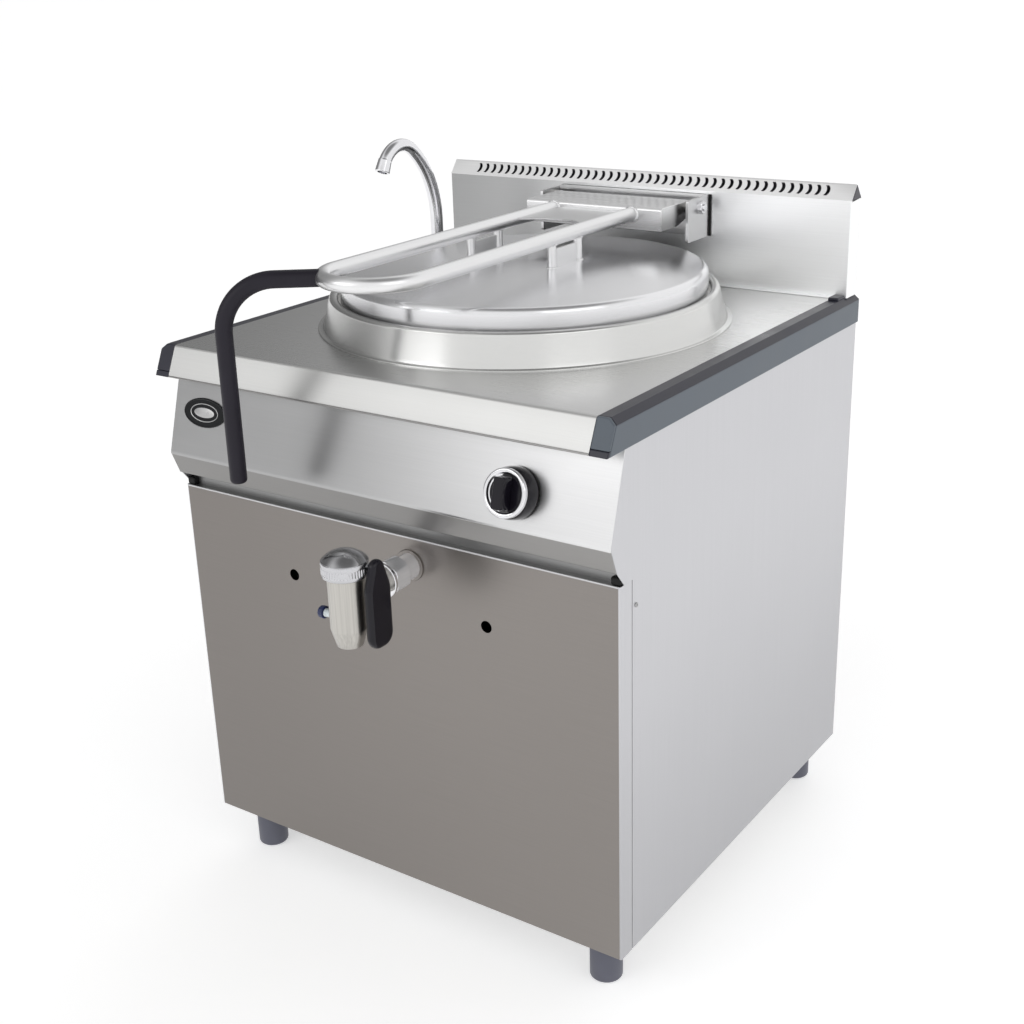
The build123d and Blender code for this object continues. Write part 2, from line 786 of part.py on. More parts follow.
# Burner: a hollow ring drilled along its top, with a venturi that the chamber's front wall carries
burner_top_z = burner_z + burner_height / 2
venturi_plane = Plane(origin=(0, venturi_mouth_y, burner_z), x_dir=(-1, 0, 0), z_dir=(0, 1, 0))
with BuildPart() as burner:
    with BuildSketch(burner_plane):
        with Locations((burner_r, 0)):
            RectangleRounded(2 * burner_half_width, burner_height, 2 * burner_wall)
    revolve(axis=pan_axis)
    with BuildSketch(venturi_plane):
        Circle(venturi_r)
    extrude(amount=pan_y - burner_r - venturi_mouth_y)
    with BuildSketch(burner_plane):
        with Locations((burner_r, 0)):
            Rectangle(2 * (burner_half_width - burner_wall), burner_height - 2 * burner_wall)
    revolve(axis=pan_axis, mode=Mode.SUBTRACT)
    with BuildSketch(venturi_plane):
        Circle(venturi_r - burner_wall)
    extrude(amount=pan_y - burner_r - venturi_mouth_y, mode=Mode.SUBTRACT)
    with BuildSketch(Plane.XY.offset(burner_top_z)):
        with Locations((0, pan_y)):
            with PolarLocations(burner_r, burner_port_count):
                Circle(burner_port_r)
    extrude(amount=-2 * burner_wall, mode=Mode.SUBTRACT)
pieces["burner"] = burner

# ------------------------------------------------------------------ drain and tap
# Everything here lies on the drain's axis or on the spout's axis
spout_axis = Axis((tap_x, spout_y, 0), (0, 0, 1))
spout_plane = Plane(origin=(tap_x, spout_y, 0), x_dir=(1, 0, 0), z_dir=(0, -1, 0))


def drain_front(distance):
    """A plane across the drain's axis, facing forward, a distance ahead of the front panel."""
    return Plane(origin=(tap_x, panel_y - distance, drain_z), x_dir=(1, 0, 0), z_dir=(0, -1, 0))


body_face = union_gap + union_length + tap_collar_gap
with BuildPart() as drain_pipe:
    with BuildSketch(drain_plane):
        Circle(drain_r)
        Circle(drain_bore_r, mode=Mode.SUBTRACT)
    extrude(amount=pan_setback + body_face)
    with BuildSketch(Plane.XY.offset(vessel_floor_z - vessel_wall)):
        with Locations((0, pan_y)):
            Circle(vessel_outer_r + touch)
    extrude(amount=vessel_depth, mode=Mode.SUBTRACT)
pieces["drain_pipe"] = drain_pipe

with BuildPart() as tap_flange:
    with BuildSketch(drain_front(0)):
        Circle(tap_flange_r)
        Circle(drain_r + touch, mode=Mode.SUBTRACT)
    extrude(amount=tap_flange_thickness)
    fillet(tap_flange.edges().group_by(Axis.Y)[0].sort_by(SortBy.LENGTH)[-1], tap_flange_radius)
pieces["tap_flange"] = tap_flange

nut_crown_r = union_flats / 2 + union_crown
with BuildPart() as tap_union_nut:
    with BuildSketch(drain_front(union_gap)):
        RegularPolygon(union_flats / 2, 6, major_radius=False)
        Circle(drain_r + touch, mode=Mode.SUBTRACT)
    extrude(amount=union_length)
    with BuildSketch(drain_front(union_gap)):
        Circle(nut_crown_r)
    extrude(amount=union_length, mode=Mode.INTERSECT)
pieces["tap_union_nut"] = tap_union_nut

# Tap body: spout, inlet and valve chamber in one casting
chamber_floor_z = drain_z - valve_seat_below
spout_lip_z = drain_z - spout_below
with BuildPart() as tap_body:
    with BuildSketch(spout_plane):
        with BuildLine():
            Polyline(
                (0, spout_lip_z),
                (spout_lip_r, spout_lip_z),
                (spout_r, spout_lip_z + spout_taper),
                (spout_r, spout_top_z),
                (0, spout_top_z),
                close=True,
            )
        make_face()
    revolve(axis=spout_axis)
    with BuildSketch(Plane(origin=(tap_x, spout_y, drain_z), x_dir=(-1, 0, 0), z_dir=(0, 1, 0))):
        Circle(tap_inlet_r)
    extrude(amount=tap_reach - body_face)
    with BuildSketch(drain_front(body_face)):
        Circle(tap_collar_r)
    extrude(amount=tap_collar_length)
    with BuildSketch(Plane.XY.offset(chamber_floor_z)):
        with Locations((tap_x, spout_y)):
            Circle(valve_chamber_r)
    extrude(amount=spout_top_z - chamber_floor_z, mode=Mode.SUBTRACT)
    with BuildSketch(Plane.XY.offset(spout_lip_z)):
        with Locations((tap_x, spout_y)):
            Circle(spout_mouth_r)
    extrude(amount=spout_top_z - spout_lip_z, mode=Mode.SUBTRACT)
    with BuildSketch(Plane(origin=(tap_x, spout_y, drain_z), x_dir=(-1, 0, 0), z_dir=(0, 1, 0))):
        Circle(drain_bore_r)
    extrude(amount=tap_reach, mode=Mode.SUBTRACT)
pieces["tap_body"] = tap_body

# Bonnet: a domed cap with a banded rim and a bore for the lever's shaft
lever_plane = Plane(origin=(tap_x, lever_y, lever_z), x_dir=(0, 1, 0), z_dir=(1, 0, 0))
bonnet_edge_z = spout_top_z + bonnet_band
bonnet_top_z = bonnet_edge_z + bonnet_dome
lever_face_x = tap_x + bonnet_r + lever_gap
with BuildPart() as tap_bonnet:
    with BuildSketch(spout_plane):
        with BuildLine():
            Line((0, spout_top_z), (bonnet_r, spout_top_z))
            Line((bonnet_r, spout_top_z), (bonnet_r, bonnet_edge_z))
            dome_arc(bonnet_r, bonnet_edge_z, bonnet_dome)
            Line((0, bonnet_top_z), (0, spout_top_z))
        make_face()
    revolve(axis=spout_axis)
    with BuildSketch(lever_plane):
        Circle(lever_boss_r)
    extrude(amount=bonnet_r)
    with BuildSketch(spout_plane):
        with BuildLine():
            Line((0, spout_top_z), (valve_chamber_r, spout_top_z))
            Line((valve_chamber_r, spout_top_z), (valve_chamber_r, bonnet_edge_z))
            dome_arc(valve_chamber_r, bonnet_edge_z, bonnet_dome - bonnet_roof)
            Line((0, bonnet_top_z - bonnet_roof), (0, spout_top_z))
        make_face()
    revolve(axis=spout_axis, mode=Mode.SUBTRACT)
    with BuildSketch(lever_plane):
        Circle(lever_shaft_r + running_fit)
    extrude(amount=2 * bonnet_r, mode=Mode.SUBTRACT)
pieces["tap_bonnet"] = tap_bonnet

# Lever shaft: a crank whose pin works between the poppet's two collars
crank_rise = crank_reach * sin(radians(45))
crank_x = tap_x + poppet_collar_r + crank_gap
crank_pin_x = tap_x + poppet_stem_r + seam
with BuildPart() as tap_shaft:
    with BuildSketch(lever_plane.offset(crank_x - tap_x)):
        Circle(crank_r)
        with Locations((-crank_rise, -crank_rise)):
            Circle(crank_r)
        make_hull()
    extrude(amount=crank_thickness)
    with BuildSketch(lever_plane.offset(crank_pin_x - tap_x)):
        with Locations((-crank_rise, -crank_rise)):
            Circle(crank_r)
    extrude(amount=crank_x - crank_pin_x)
    with BuildSketch(lever_plane.offset(crank_x - tap_x)):
        Circle(lever_shaft_r)
    extrude(amount=lever_face_x + lever_thickness / 2 - crank_x)
pieces["tap_shaft"] = tap_shaft

# Poppet: the valve's disc on a stem, lifted by the crank from its seat
crank_pin_z = lever_z - crank_rise
low_collar_z = crank_pin_z - crank_r - crank_play
high_collar_z = crank_pin_z + crank_r + crank_play
with BuildPart() as tap_poppet:
    with BuildSketch(spout_plane):
        with BuildLine():
            Polyline(
                (0, chamber_floor_z + touch),
                (poppet_r, chamber_floor_z + touch),
                (poppet_r, chamber_floor_z + poppet_thickness),
                (poppet_stem_r, chamber_floor_z + poppet_thickness + poppet_stem_r),
                (poppet_stem_r, low_collar_z - poppet_collar_thickness),
                (poppet_collar_r, low_collar_z - poppet_collar_thickness),
                (poppet_collar_r, low_collar_z),
                (poppet_stem_r, low_collar_z),
                (poppet_stem_r, high_collar_z),
                (poppet_collar_r, high_collar_z),
                (poppet_collar_r, high_collar_z + poppet_collar_thickness),
                (0, high_collar_z + poppet_collar_thickness),
                close=True,
            )
        make_face()
    revolve(axis=spout_axis)
pieces["tap_poppet"] = tap_poppet

# Lever: a paddle that hangs beside the spout
with BuildPart() as tap_lever:
    with BuildSketch(lever_plane.offset(lever_face_x - tap_x)) as paddle:
        with BuildLine():
            Polyline(
                (lever_hub_r, 0),
                (lever_half_width, -lever_shoulder),
                (lever_half_width, -lever_length),
                (-lever_half_width, -lever_length),
                (-lever_half_width, -lever_shoulder),
                (-lever_hub_r, 0),
                close=True,
            )
        make_face()
        fillet(paddle.vertices().group_by(Axis.Y)[1], lever_corner)
        fillet(paddle.vertices().group_by(Axis.Y)[0], lever_corner)
        Circle(lever_hub_r)
    extrude(amount=lever_thickness)
    fillet(tap_lever.edges().group_by(Axis.X)[-1], lever_edge_radius)
    with BuildSketch(lever_plane.offset(lever_face_x - tap_x)):
        Circle(lever_shaft_r)
    extrude(amount=lever_thickness / 2, mode=Mode.SUBTRACT)
pieces["tap_lever"] = tap_lever

# Level cock: a short stem on the spout's left side with a cap that turns on its spigot
cock_z = drain_z - cock_below
cock_end_x = tap_x - spout_r - cock_stem_length
cock_plane = Plane(origin=(cock_end_x, spout_y, cock_z), x_dir=(0, -1, 0), z_dir=(-1, 0, 0))
with BuildPart() as level_cock_stem:
    with BuildSketch(cock_plane):
        Circle(cock_stem_r)
    extrude(amount=-(cock_stem_length + spout_r / 2))
    with BuildSketch(cock_plane):
        Circle(cock_spigot_r)
    extrude(amount=cock_spigot_length)
    with BuildSketch(Plane.XY.offset(cock_z - 2 * cock_stem_r)):
        with Locations((tap_x, spout_y)):
            Circle(spout_r)
    extrude(amount=4 * cock_stem_r, mode=Mode.SUBTRACT)
pieces["level_cock_stem"] = level_cock_stem

with BuildPart() as level_cock_cap:
    with BuildSketch(cock_plane.offset(seat_gap)):
        Circle(cock_cap_r)
    extrude(amount=cock_cap_length)
    fillet(level_cock_cap.edges().group_by(Axis.X)[0], cock_cap_radius)
    with BuildSketch(cock_plane):
        Circle(cock_spigot_r + running_fit)
    extrude(amount=cock_spigot_length + seat_gap, mode=Mode.SUBTRACT)
pieces["level_cock_cap"] = level_cock_cap

# ------------------------------------------------------------------ lid and its hinge
# Lid: a shallow dome whose edge turns down into a skirt
crown_r = lid_r - lid_edge_radius
bend_bulge = lid_edge_radius * sqrt(0.5)
inner_bulge = (lid_edge_radius - lid_sheet) * sqrt(0.5)
bend_z = lid_top_z - lid_edge_radius
with BuildPart() as lid_shell:
    with BuildSketch(pan_plane):
        with BuildLine():
            Polyline((lid_r - lid_sheet, bend_z), (lid_r - lid_sheet, lid_base_z), (lid_r, lid_base_z), (lid_r, bend_z))
            ThreePointArc((lid_r, bend_z), (crown_r + bend_bulge, bend_z + bend_bulge), (crown_r, lid_top_z))
            dome_arc(crown_r, lid_top_z, lid_crown)
            Line((0, crown_z), (0, crown_z - lid_sheet))
            dome_arc(crown_r, lid_top_z - lid_sheet, lid_crown)
            ThreePointArc(
                (crown_r, lid_top_z - lid_sheet),
                (crown_r + inner_bulge, bend_z + inner_bulge),
                (lid_r - lid_sheet, bend_z),
            )
        make_face()
    revolve(axis=pan_axis)
pieces["lid_shell"] = lid_shell

# Shapes that the lid's fittings are coped to
arm_spots = [(-arm_x, hinge_z), (arm_x, hinge_z)]
post_spots = [(x, pan_y + y) for x in (-arm_x, arm_x) for y in (-post_front, post_pitch - post_front)]
with BuildPart() as arm_cores:
    with BuildSketch(Plane.XZ.offset(-loop_y)):
        with Locations(*arm_spots):
            Circle(arm_tube_r + touch / 2)
    extrude(amount=-(bar_front_y - loop_y))
with BuildPart() as lid_core:
    with BuildSketch(pan_plane):
        with BuildLine():
            Polyline((0, top_z), (crown_r, top_z), (crown_r, lid_top_z))
            dome_arc(crown_r, lid_top_z, lid_crown)
            Line((0, crown_z), (0, top_z))
        make_face()
    revolve(axis=pan_axis)

# Lid frame: one tube bent into a loop, welded to the hinge bar
with BuildPart() as lid_frame_tube:
    with BuildLine() as loop_route:
        Line((arm_x, bar_front_y, hinge_z), (arm_x, loop_y, hinge_z))
        ThreePointArc((arm_x, loop_y, hinge_z), (0, loop_y - arm_x, hinge_z), (-arm_x, loop_y, hinge_z))
        Line((-arm_x, loop_y, hinge_z), (-arm_x, bar_front_y, hinge_z))
    with BuildSketch(start_plane(loop_route)):
        Circle(arm_tube_r)
        Circle(arm_tube_r - arm_tube_wall, mode=Mode.SUBTRACT)
    sweep()
pieces["lid_frame_tube"] = lid_frame_tube

with BuildPart() as lid_posts:
    with BuildSketch(Plane.XY.offset(lid_top_z)):
        with Locations(*post_spots):
            Circle(post_r)
    extrude(amount=hinge_z - lid_top_z)
    add(arm_cores.part, mode=Mode.SUBTRACT)
    add(lid_core.part, mode=Mode.SUBTRACT)
pieces["lid_posts"] = lid_posts

with BuildPart() as post_plates:
    with BuildSketch(Plane.XY.offset(lid_top_z)):
        with Locations(*[(x, pan_y - post_front + post_pitch / 2) for x in (-arm_x, arm_x)]):
            Rectangle(post_plate_thickness, post_pitch)
        with Locations(*post_spots):
            Circle(post_r, mode=Mode.SUBTRACT)
    extrude(amount=hinge_z - arm_tube_r - post_plate_drop - lid_top_z)
    add(lid_core.part, mode=Mode.SUBTRACT)
pieces["post_plates"] = post_plates

with BuildPart() as frame_plate:
    with BuildSketch(Plane.XY.offset(hinge_z)):
        with BuildLine():
            Polyline(
                (-arm_x, bar_front_y),
                (arm_x, bar_front_y),
                (arm_x, bar_front_y - web_plate_length),
                (web_notch, bar_front_y - web_plate_length + web_notch),
                (-web_notch, bar_front_y - web_plate_length + web_notch),
                (-arm_x, bar_front_y - web_plate_length),
                close=True,
            )
        make_face()
    extrude(amount=web_plate_thickness)
    add(arm_cores.part, mode=Mode.SUBTRACT)
pieces["frame_plate"] = frame_plate

# Hinge bar: a bent plate across both arms, closed by a cheek with an eye at each end
bar_back_y = hinge_y - bar_top_gap
bar_mid_y = (bar_front_y + bar_back_y) / 2
bar_mid_z = hinge_z + (bar_above - bar_below) / 2
with BuildPart() as hinge_bar:
    with BuildSketch(Plane.YZ.offset(-bar_half)):
        with Locations((bar_mid_y, bar_mid_z)):
            Rectangle(bar_back_y - bar_front_y, bar_above + bar_below)
        with Locations((bar_mid_y + bar_sheet, bar_mid_z - bar_sheet)):
            Rectangle(bar_back_y - bar_front_y, bar_above + bar_below, mode=Mode.SUBTRACT)
    extrude(amount=2 * bar_half)
    for cheek_x in (-bar_half, bar_half - bar_sheet):
        with BuildSketch(Plane.YZ.offset(cheek_x)):
            with Locations((hinge_y, hinge_z)):
                Circle(hinge_eye_r)
            with Locations((bar_front_y + bar_reach / 4, bar_mid_z)):
                Rectangle(bar_reach / 2, bar_above + bar_below)
            make_hull()
            with Locations((hinge_y, hinge_z)):
                Circle(hinge_pin_r + running_fit, mode=Mode.SUBTRACT)
        extrude(amount=bar_sheet)
pieces["hinge_bar"] = hinge_bar

# Grip: a sleeved handle from the loop's front corner, level and then straight down
grip_bend = (grip_x, panel_y - grip_ahead)
with BuildPart() as grip:
    grip_root_x = arm_x * cos(radians(grip_root_angle))
    grip_root_y = loop_y + arm_x * sin(radians(grip_root_angle))
    with BuildLine() as grip_route:
        FilletPolyline(
            (grip_root_x, grip_root_y, hinge_z),
            (grip_bend[0], grip_bend[1], hinge_z),
            (grip_bend[0], grip_bend[1], hinge_z - grip_drop),
            radius=grip_bend_r,
        )
    with BuildSketch(start_plane(grip_route)):
        Circle(grip_r)
    sweep()
    chamfer(grip.edges().group_by(Axis.Z)[0], grip_end_chamfer)
    with BuildSketch(Plane(origin=(0, loop_y, hinge_z), x_dir=(1, 0, 0), z_dir=(0, -1, 0))):
        with Locations((arm_x, 0)):
            Circle(arm_tube_r + touch)
    revolve(axis=Axis((0, loop_y, 0), (0, 0, 1)), mode=Mode.SUBTRACT)
pieces["grip"] = grip

# Hinge bracket: two end plates that hold the pin, a back plate and a cover strip
bracket_back_y = flue_y - gasket_thickness
bracket_low_z = hinge_z - bracket_below
bracket_high_z = hinge_z + bracket_above
bracket_mid_z = (bracket_low_z + bracket_high_z) / 2
bracket_inner = bracket_half - bracket_plate
with BuildPart() as hinge_bracket:
    for plate_x in (-bracket_half, bracket_inner):
        with BuildSketch(Plane.YZ.offset(plate_x)):
            with Locations(((hinge_y - bracket_reach + bracket_back_y) / 2, bracket_mid_z)):
                Rectangle(bracket_back_y - hinge_y + bracket_reach, bracket_high_z - bracket_low_z)
            with Locations((hinge_y, hinge_z)):
                Circle(hinge_pin_r, mode=Mode.SUBTRACT)
        extrude(amount=bracket_plate)
    with BuildSketch(Plane.YZ.offset(-bracket_inner)):
        with Locations((bracket_back_y - bracket_plate / 2, bracket_mid_z)):
            Rectangle(bracket_plate, bracket_high_z - bracket_low_z)
        with Locations(((hinge_y + bracket_cover_gap + bracket_back_y) / 2, bracket_high_z - bracket_plate / 2)):
            Rectangle(bracket_back_y - hinge_y - bracket_cover_gap, bracket_plate)
    extrude(amount=2 * bracket_inner)
pieces["hinge_bracket"] = hinge_bracket

with BuildPart() as hinge_gasket:
    with BuildSketch(Plane.XZ.offset(-flue_y)):
        with Locations((0, bracket_mid_z)):
            Rectangle(2 * (bracket_half + gasket_margin), bracket_high_z - bracket_low_z)
    extrude(amount=gasket_thickness)
pieces["hinge_gasket"] = hinge_gasket

# Hinge pin with a nut at each end, and a spacer between each eye and its end plate
pin_half = bracket_half + hinge_nut_height + hinge_pin_end
with BuildPart() as hinge_pin:
    with BuildSketch(hinge_plane.offset(-pin_half)):
        Circle(hinge_pin_r)
    extrude(amount=2 * pin_half)
    chamfer(hinge_pin.edges().filter_by(GeomType.CIRCLE), hinge_pin_end / 3)
pieces["hinge_pin"] = hinge_pin

with BuildPart() as hinge_nuts:
    for nut_x in (-bracket_half - hinge_nut_height, bracket_half):
        with BuildSketch(hinge_plane.offset(nut_x)):
            RegularPolygon(hinge_nut_flats / 2, 6, major_radius=False)
            Circle(hinge_pin_r, mode=Mode.SUBTRACT)
        extrude(amount=hinge_nut_height)
pieces["hinge_nuts"] = hinge_nuts

spacer_length = bracket_inner - bar_half - 2 * seat_gap
with BuildPart() as hinge_spacers:
    for spacer_x in (-bar_half - seat_gap - spacer_length, bar_half + seat_gap):
        with BuildSketch(hinge_plane.offset(spacer_x)):
            Circle(hinge_eye_r)
            Circle(hinge_pin_r + running_fit, mode=Mode.SUBTRACT)
        extrude(amount=spacer_length)
pieces["hinge_spacers"] = hinge_spacers

# ------------------------------------------------------------------ flue housing and cap
with BuildPart() as flue_housing:
    with BuildSketch(Plane.XY.offset(top_z)):
        with Locations((0, (flue_y + back_y) / 2)):
            Rectangle(module_width - 2 * flue_inset, flue_depth)
            Rectangle(module_width - 2 * flue_inset - 2 * sheet, flue_depth - 2 * sheet, mode=Mode.SUBTRACT)
    extrude(amount=flue_front_height)
pieces["flue_housing"] = flue_housing

# Flue cap: a low ridged roof, slotted along its front slope
cap_low_z = top_z + flue_front_height
cap_rise = flue_apex_height - flue_front_height
slope_length = sqrt(cap_rise ** 2 + (flue_depth / 2) ** 2)
cap_half = module_width / 2 - flue_inset
slot_run = 2 * cap_half - slot_margin_left - slot_margin_right
slot_count = int(slot_run / slot_pitch) + 1
slope_plane = Plane(
    origin=((slot_margin_left - slot_margin_right) / 2, flue_y + flue_depth / 4, cap_low_z + cap_rise / 2),
    x_dir=(1, 0, 0),
    z_dir=(0, -cap_rise, flue_depth / 2),
)
with BuildPart() as flue_cap:
    with BuildSketch(Plane.YZ.offset(-cap_half)):
        with BuildLine():
            Polyline(
                (flue_y, cap_low_z),
                (flue_y + flue_depth / 2, cap_low_z + cap_rise),
                (back_y, cap_low_z),
                (back_y - 2 * sheet, cap_low_z),
                (flue_y + flue_depth / 2, cap_low_z + cap_rise - 2 * sheet),
                (flue_y + 2 * sheet, cap_low_z),
                close=True,
            )
        make_face()
    extrude(amount=2 * cap_half)
    with BuildSketch(slope_plane):
        with GridLocations(slot_pitch, 1, slot_count, 1):
            Rectangle(slot_width, slot_share * slope_length)
    extrude(amount=-cap_rise / 2, mode=Mode.SUBTRACT)
pieces["flue_cap"] = flue_cap

# ------------------------------------------------------------------ faucet
faucet_axis = Axis((faucet_x, faucet_y, 0), (0, 0, 1))
faucet_top_z = top_z + faucet_body_height
faucet_plane = Plane(origin=(faucet_x, faucet_y, 0), x_dir=(1, 0, 0), z_dir=(0, -1, 0))
faucet_shank_z = top_z - faucet_shank_length
with BuildPart() as faucet_base:
    with BuildSketch(faucet_plane):
        with BuildLine():
            Polyline(
                (0, faucet_shank_z),
                (faucet_shank_r, faucet_shank_z),
                (faucet_shank_r, top_z),
                (faucet_flange_r, top_z),
                (faucet_flange_r, top_z + faucet_flange_height / 2),
                (faucet_body_r, top_z + faucet_flange_height),
                (faucet_body_r, faucet_top_z),
                (0, faucet_top_z),
                close=True,
            )
        make_face()
    revolve(axis=faucet_axis)
    with BuildSketch(Plane.XY.offset(faucet_top_z)):
        with Locations((faucet_x, faucet_y)):
            Circle(spout_tube_r + running_fit)
    extrude(amount=-faucet_socket, mode=Mode.SUBTRACT)
    with BuildSketch(Plane.XY.offset(faucet_top_z)):
        with Locations((faucet_x, faucet_y)):
            Circle(water_pipe_r + touch)
    extrude(amount=faucet_shank_z - faucet_top_z, mode=Mode.SUBTRACT)
pieces["faucet_base"] = faucet_base

with BuildPart() as faucet_nut:
    with BuildSketch(Plane.XY.offset(top_z - worktop_sheet - faucet_nut_height)):
        with Locations((faucet_x, faucet_y)):
            RegularPolygon(faucet_nut_flats / 2, 6, major_radius=False)
            Circle(faucet_shank_r, mode=Mode.SUBTRACT)
    extrude(amount=faucet_nut_height)
pieces["faucet_nut"] = faucet_nut

# Spout: straight riser, a wide rising bend and a tight turn down to the nozzle
spout_foot_z = faucet_top_z - faucet_socket + seat_gap
riser_plane = Plane(origin=(faucet_x, faucet_y, spout_foot_z), x_dir=(0, -1, 0), z_dir=(-1, 0, 0))
with BuildPart() as faucet_spout:
    with BuildLine(riser_plane) as arch:
        riser = Line((0, 0), (0, top_z + spout_straight - spout_foot_z))
        rise = JernArc(riser @ 1, riser % 1, radius=spout_rise_r, arc_size=-spout_rise_angle)
        turn_down = JernArc(rise @ 1, rise % 1, radius=spout_turn_r, arc_size=-spout_turn_angle)
    with BuildSketch(start_plane(arch)):
        Circle(spout_tube_r)
        Circle(spout_tube_bore_r, mode=Mode.SUBTRACT)
    sweep()
pieces["faucet_spout"] = faucet_spout

nozzle_plane = Plane(origin=turn_down @ 1, z_dir=turn_down % 1)
with BuildPart() as faucet_nozzle:
    with BuildSketch(nozzle_plane):
        Circle(nozzle_r)
    extrude(amount=nozzle_length)
    with BuildSketch(nozzle_plane.offset(nozzle_overlap)):
        Circle(nozzle_r)
        Circle(spout_tube_r, mode=Mode.SUBTRACT)
    extrude(amount=-nozzle_overlap)
    with BuildSketch(nozzle_plane):
        Circle(spout_tube_bore_r)
    extrude(amount=nozzle_length, mode=Mode.SUBTRACT)
pieces["faucet_nozzle"] = faucet_nozzle

# Water pipe: from an inlet under the base up into the faucet's shank
pipe_low_z = floor_z - pipe_drop
pipe_run_z = floor_z + pipe_run_height
water_pipe = supply_pipe(
    [
        (faucet_x, supply_y, pipe_low_z),
        (faucet_x, supply_y, pipe_run_z),
        (faucet_x, faucet_y, pipe_run_z),
        (faucet_x, faucet_y, faucet_shank_z + pipe_entry),
    ],
    water_pipe_r,
    water_bore_r,
)
pieces["water_pipe"] = water_pipe

# ------------------------------------------------------------------ knob and gas valve
# Offsets from the knob's plane are positive in front of the control panel
knob_back = knob_push + knob_gap
knob_front = knob_back + knob_depth
rotor_front = -(sheet + valve_neck + valve_wall)
port_offset = -(sheet + valve_neck + valve_port_depth)
port_y = knob_plane.offset(port_offset).origin.Y
port_z = knob_plane.offset(port_offset).origin.Z

with BuildPart() as knob_body:
    with BuildSketch(knob_plane.offset(knob_back)):
        Circle(knob_base_r)
    with BuildSketch(knob_plane.offset(knob_front)):
        Circle(knob_front_r)
    loft()
    with BuildSketch(knob_plane.offset(knob_front)):
        Circle(knob_ring_bore_r - touch)
    extrude(amount=knob_ring_depth)
    with BuildSketch(knob_plane.offset(knob_front)):
        RectangleRounded(knob_grip_width, knob_grip_length, knob_grip_corner)
    extrude(amount=knob_ring_depth + knob_grip_depth)
    fillet(knob_body.faces().sort_by(Axis(knob_plane.origin, knob_plane.z_dir))[-1].edges(), knob_grip_corner / 2)
    with BuildSketch(knob_plane.offset(knob_back)):
        Circle(knob_base_r - knob_wall)
        Circle(knob_hub_r, mode=Mode.SUBTRACT)
        Circle(spindle_r)
    extrude(amount=knob_hub_depth, mode=Mode.SUBTRACT)
pieces["knob_body"] = knob_body

with BuildPart() as knob_ring:
    with BuildSketch(knob_plane.offset(knob_front)):
        Circle(knob_ring_r)
        Circle(knob_ring_bore_r, mode=Mode.SUBTRACT)
    extrude(amount=knob_ring_depth)
    fillet(knob_ring.edges().filter_by(GeomType.CIRCLE).sort_by(SortBy.RADIUS)[-1], knob_ring_radius)
pieces["knob_ring"] = knob_ring

# Spindle: round through the valve's neck, then square where it slides in the rotor
with BuildPart() as valve_spindle:
    with BuildSketch(knob_plane.offset(knob_back + knob_hub_depth)):
        Circle(spindle_r)
    extrude(amount=-(knob_back + knob_hub_depth - rotor_front - knob_push - seat_gap))
    with BuildSketch(knob_plane.offset(rotor_front + knob_push + seat_gap)):
        Rectangle(spindle_square, spindle_square)
    extrude(amount=-(spindle_square_length + knob_push + seat_gap))
pieces["valve_spindle"] = valve_spindle

with BuildPart() as valve_rotor:
    with BuildSketch(knob_plane.offset(rotor_front)):
        Circle(rotor_r - running_fit)
    extrude(amount=-rotor_length)
    with BuildSketch(knob_plane.offset(rotor_front)):
        Rectangle(spindle_square + 2 * running_fit, spindle_square + 2 * running_fit)
    extrude(amount=-(spindle_square_length + knob_push + seat_gap), mode=Mode.SUBTRACT)
    with BuildSketch(Plane(knob_plane.offset(port_offset).origin, z_dir=knob_plane.y_dir)):
        Circle(valve_port_r)
    extrude(amount=rotor_r, both=True, mode=Mode.SUBTRACT)
pieces["valve_rotor"] = valve_rotor

with BuildPart() as gas_valve_body:
    with BuildSketch(knob_plane.offset(-sheet)):
        Circle(valve_neck_r)
    extrude(amount=-valve_neck)
    with BuildSketch(knob_plane.offset(-sheet - valve_neck)):
        RectangleRounded(2 * valve_half_width, 2 * valve_half_height, valve_wall)
    extrude(amount=-valve_length)
    with BuildSketch(knob_plane.offset(rotor_front + seat_gap)):
        Circle(rotor_r)
    extrude(amount=-(rotor_length + 2 * seat_gap), mode=Mode.SUBTRACT)
    with BuildSketch(knob_plane):
        Circle(spindle_r + running_fit)
    extrude(amount=rotor_front, mode=Mode.SUBTRACT)
    with BuildSketch(Plane(origin=(knob_x + valve_half_width, port_y, port_z), z_dir=(-1, 0, 0))):
        Circle(gas_pipe_r + touch)
    extrude(amount=pipe_socket, mode=Mode.SUBTRACT)
    with BuildSketch(Plane(origin=(knob_x - valve_half_width, port_y, port_z), z_dir=(1, 0, 0))):
        Circle(burner_pipe_r + touch)
    extrude(amount=pipe_socket, mode=Mode.SUBTRACT)
    with BuildSketch(Plane(origin=(knob_x, port_y, port_z), z_dir=(1, 0, 0))):
        Circle(valve_port_r)
    extrude(amount=valve_half_width, both=True, mode=Mode.SUBTRACT)
pieces["gas_valve_body"] = gas_valve_body

# Gas pipes: in from under the base to the valve, and on to the burner's venturi
gas_supply_pipe = supply_pipe(
    [
        (gas_pipe_x, supply_y, pipe_low_z),
        (gas_pipe_x, supply_y, pipe_run_z),
        (gas_pipe_x, port_y, pipe_run_z),
        (gas_pipe_x, port_y, port_z),
        (knob_x + valve_half_width - pipe_socket, port_y, port_z),
    ],
    gas_pipe_r,
    gas_bore_r,
)
pieces["gas_supply_pipe"] = gas_supply_pipe

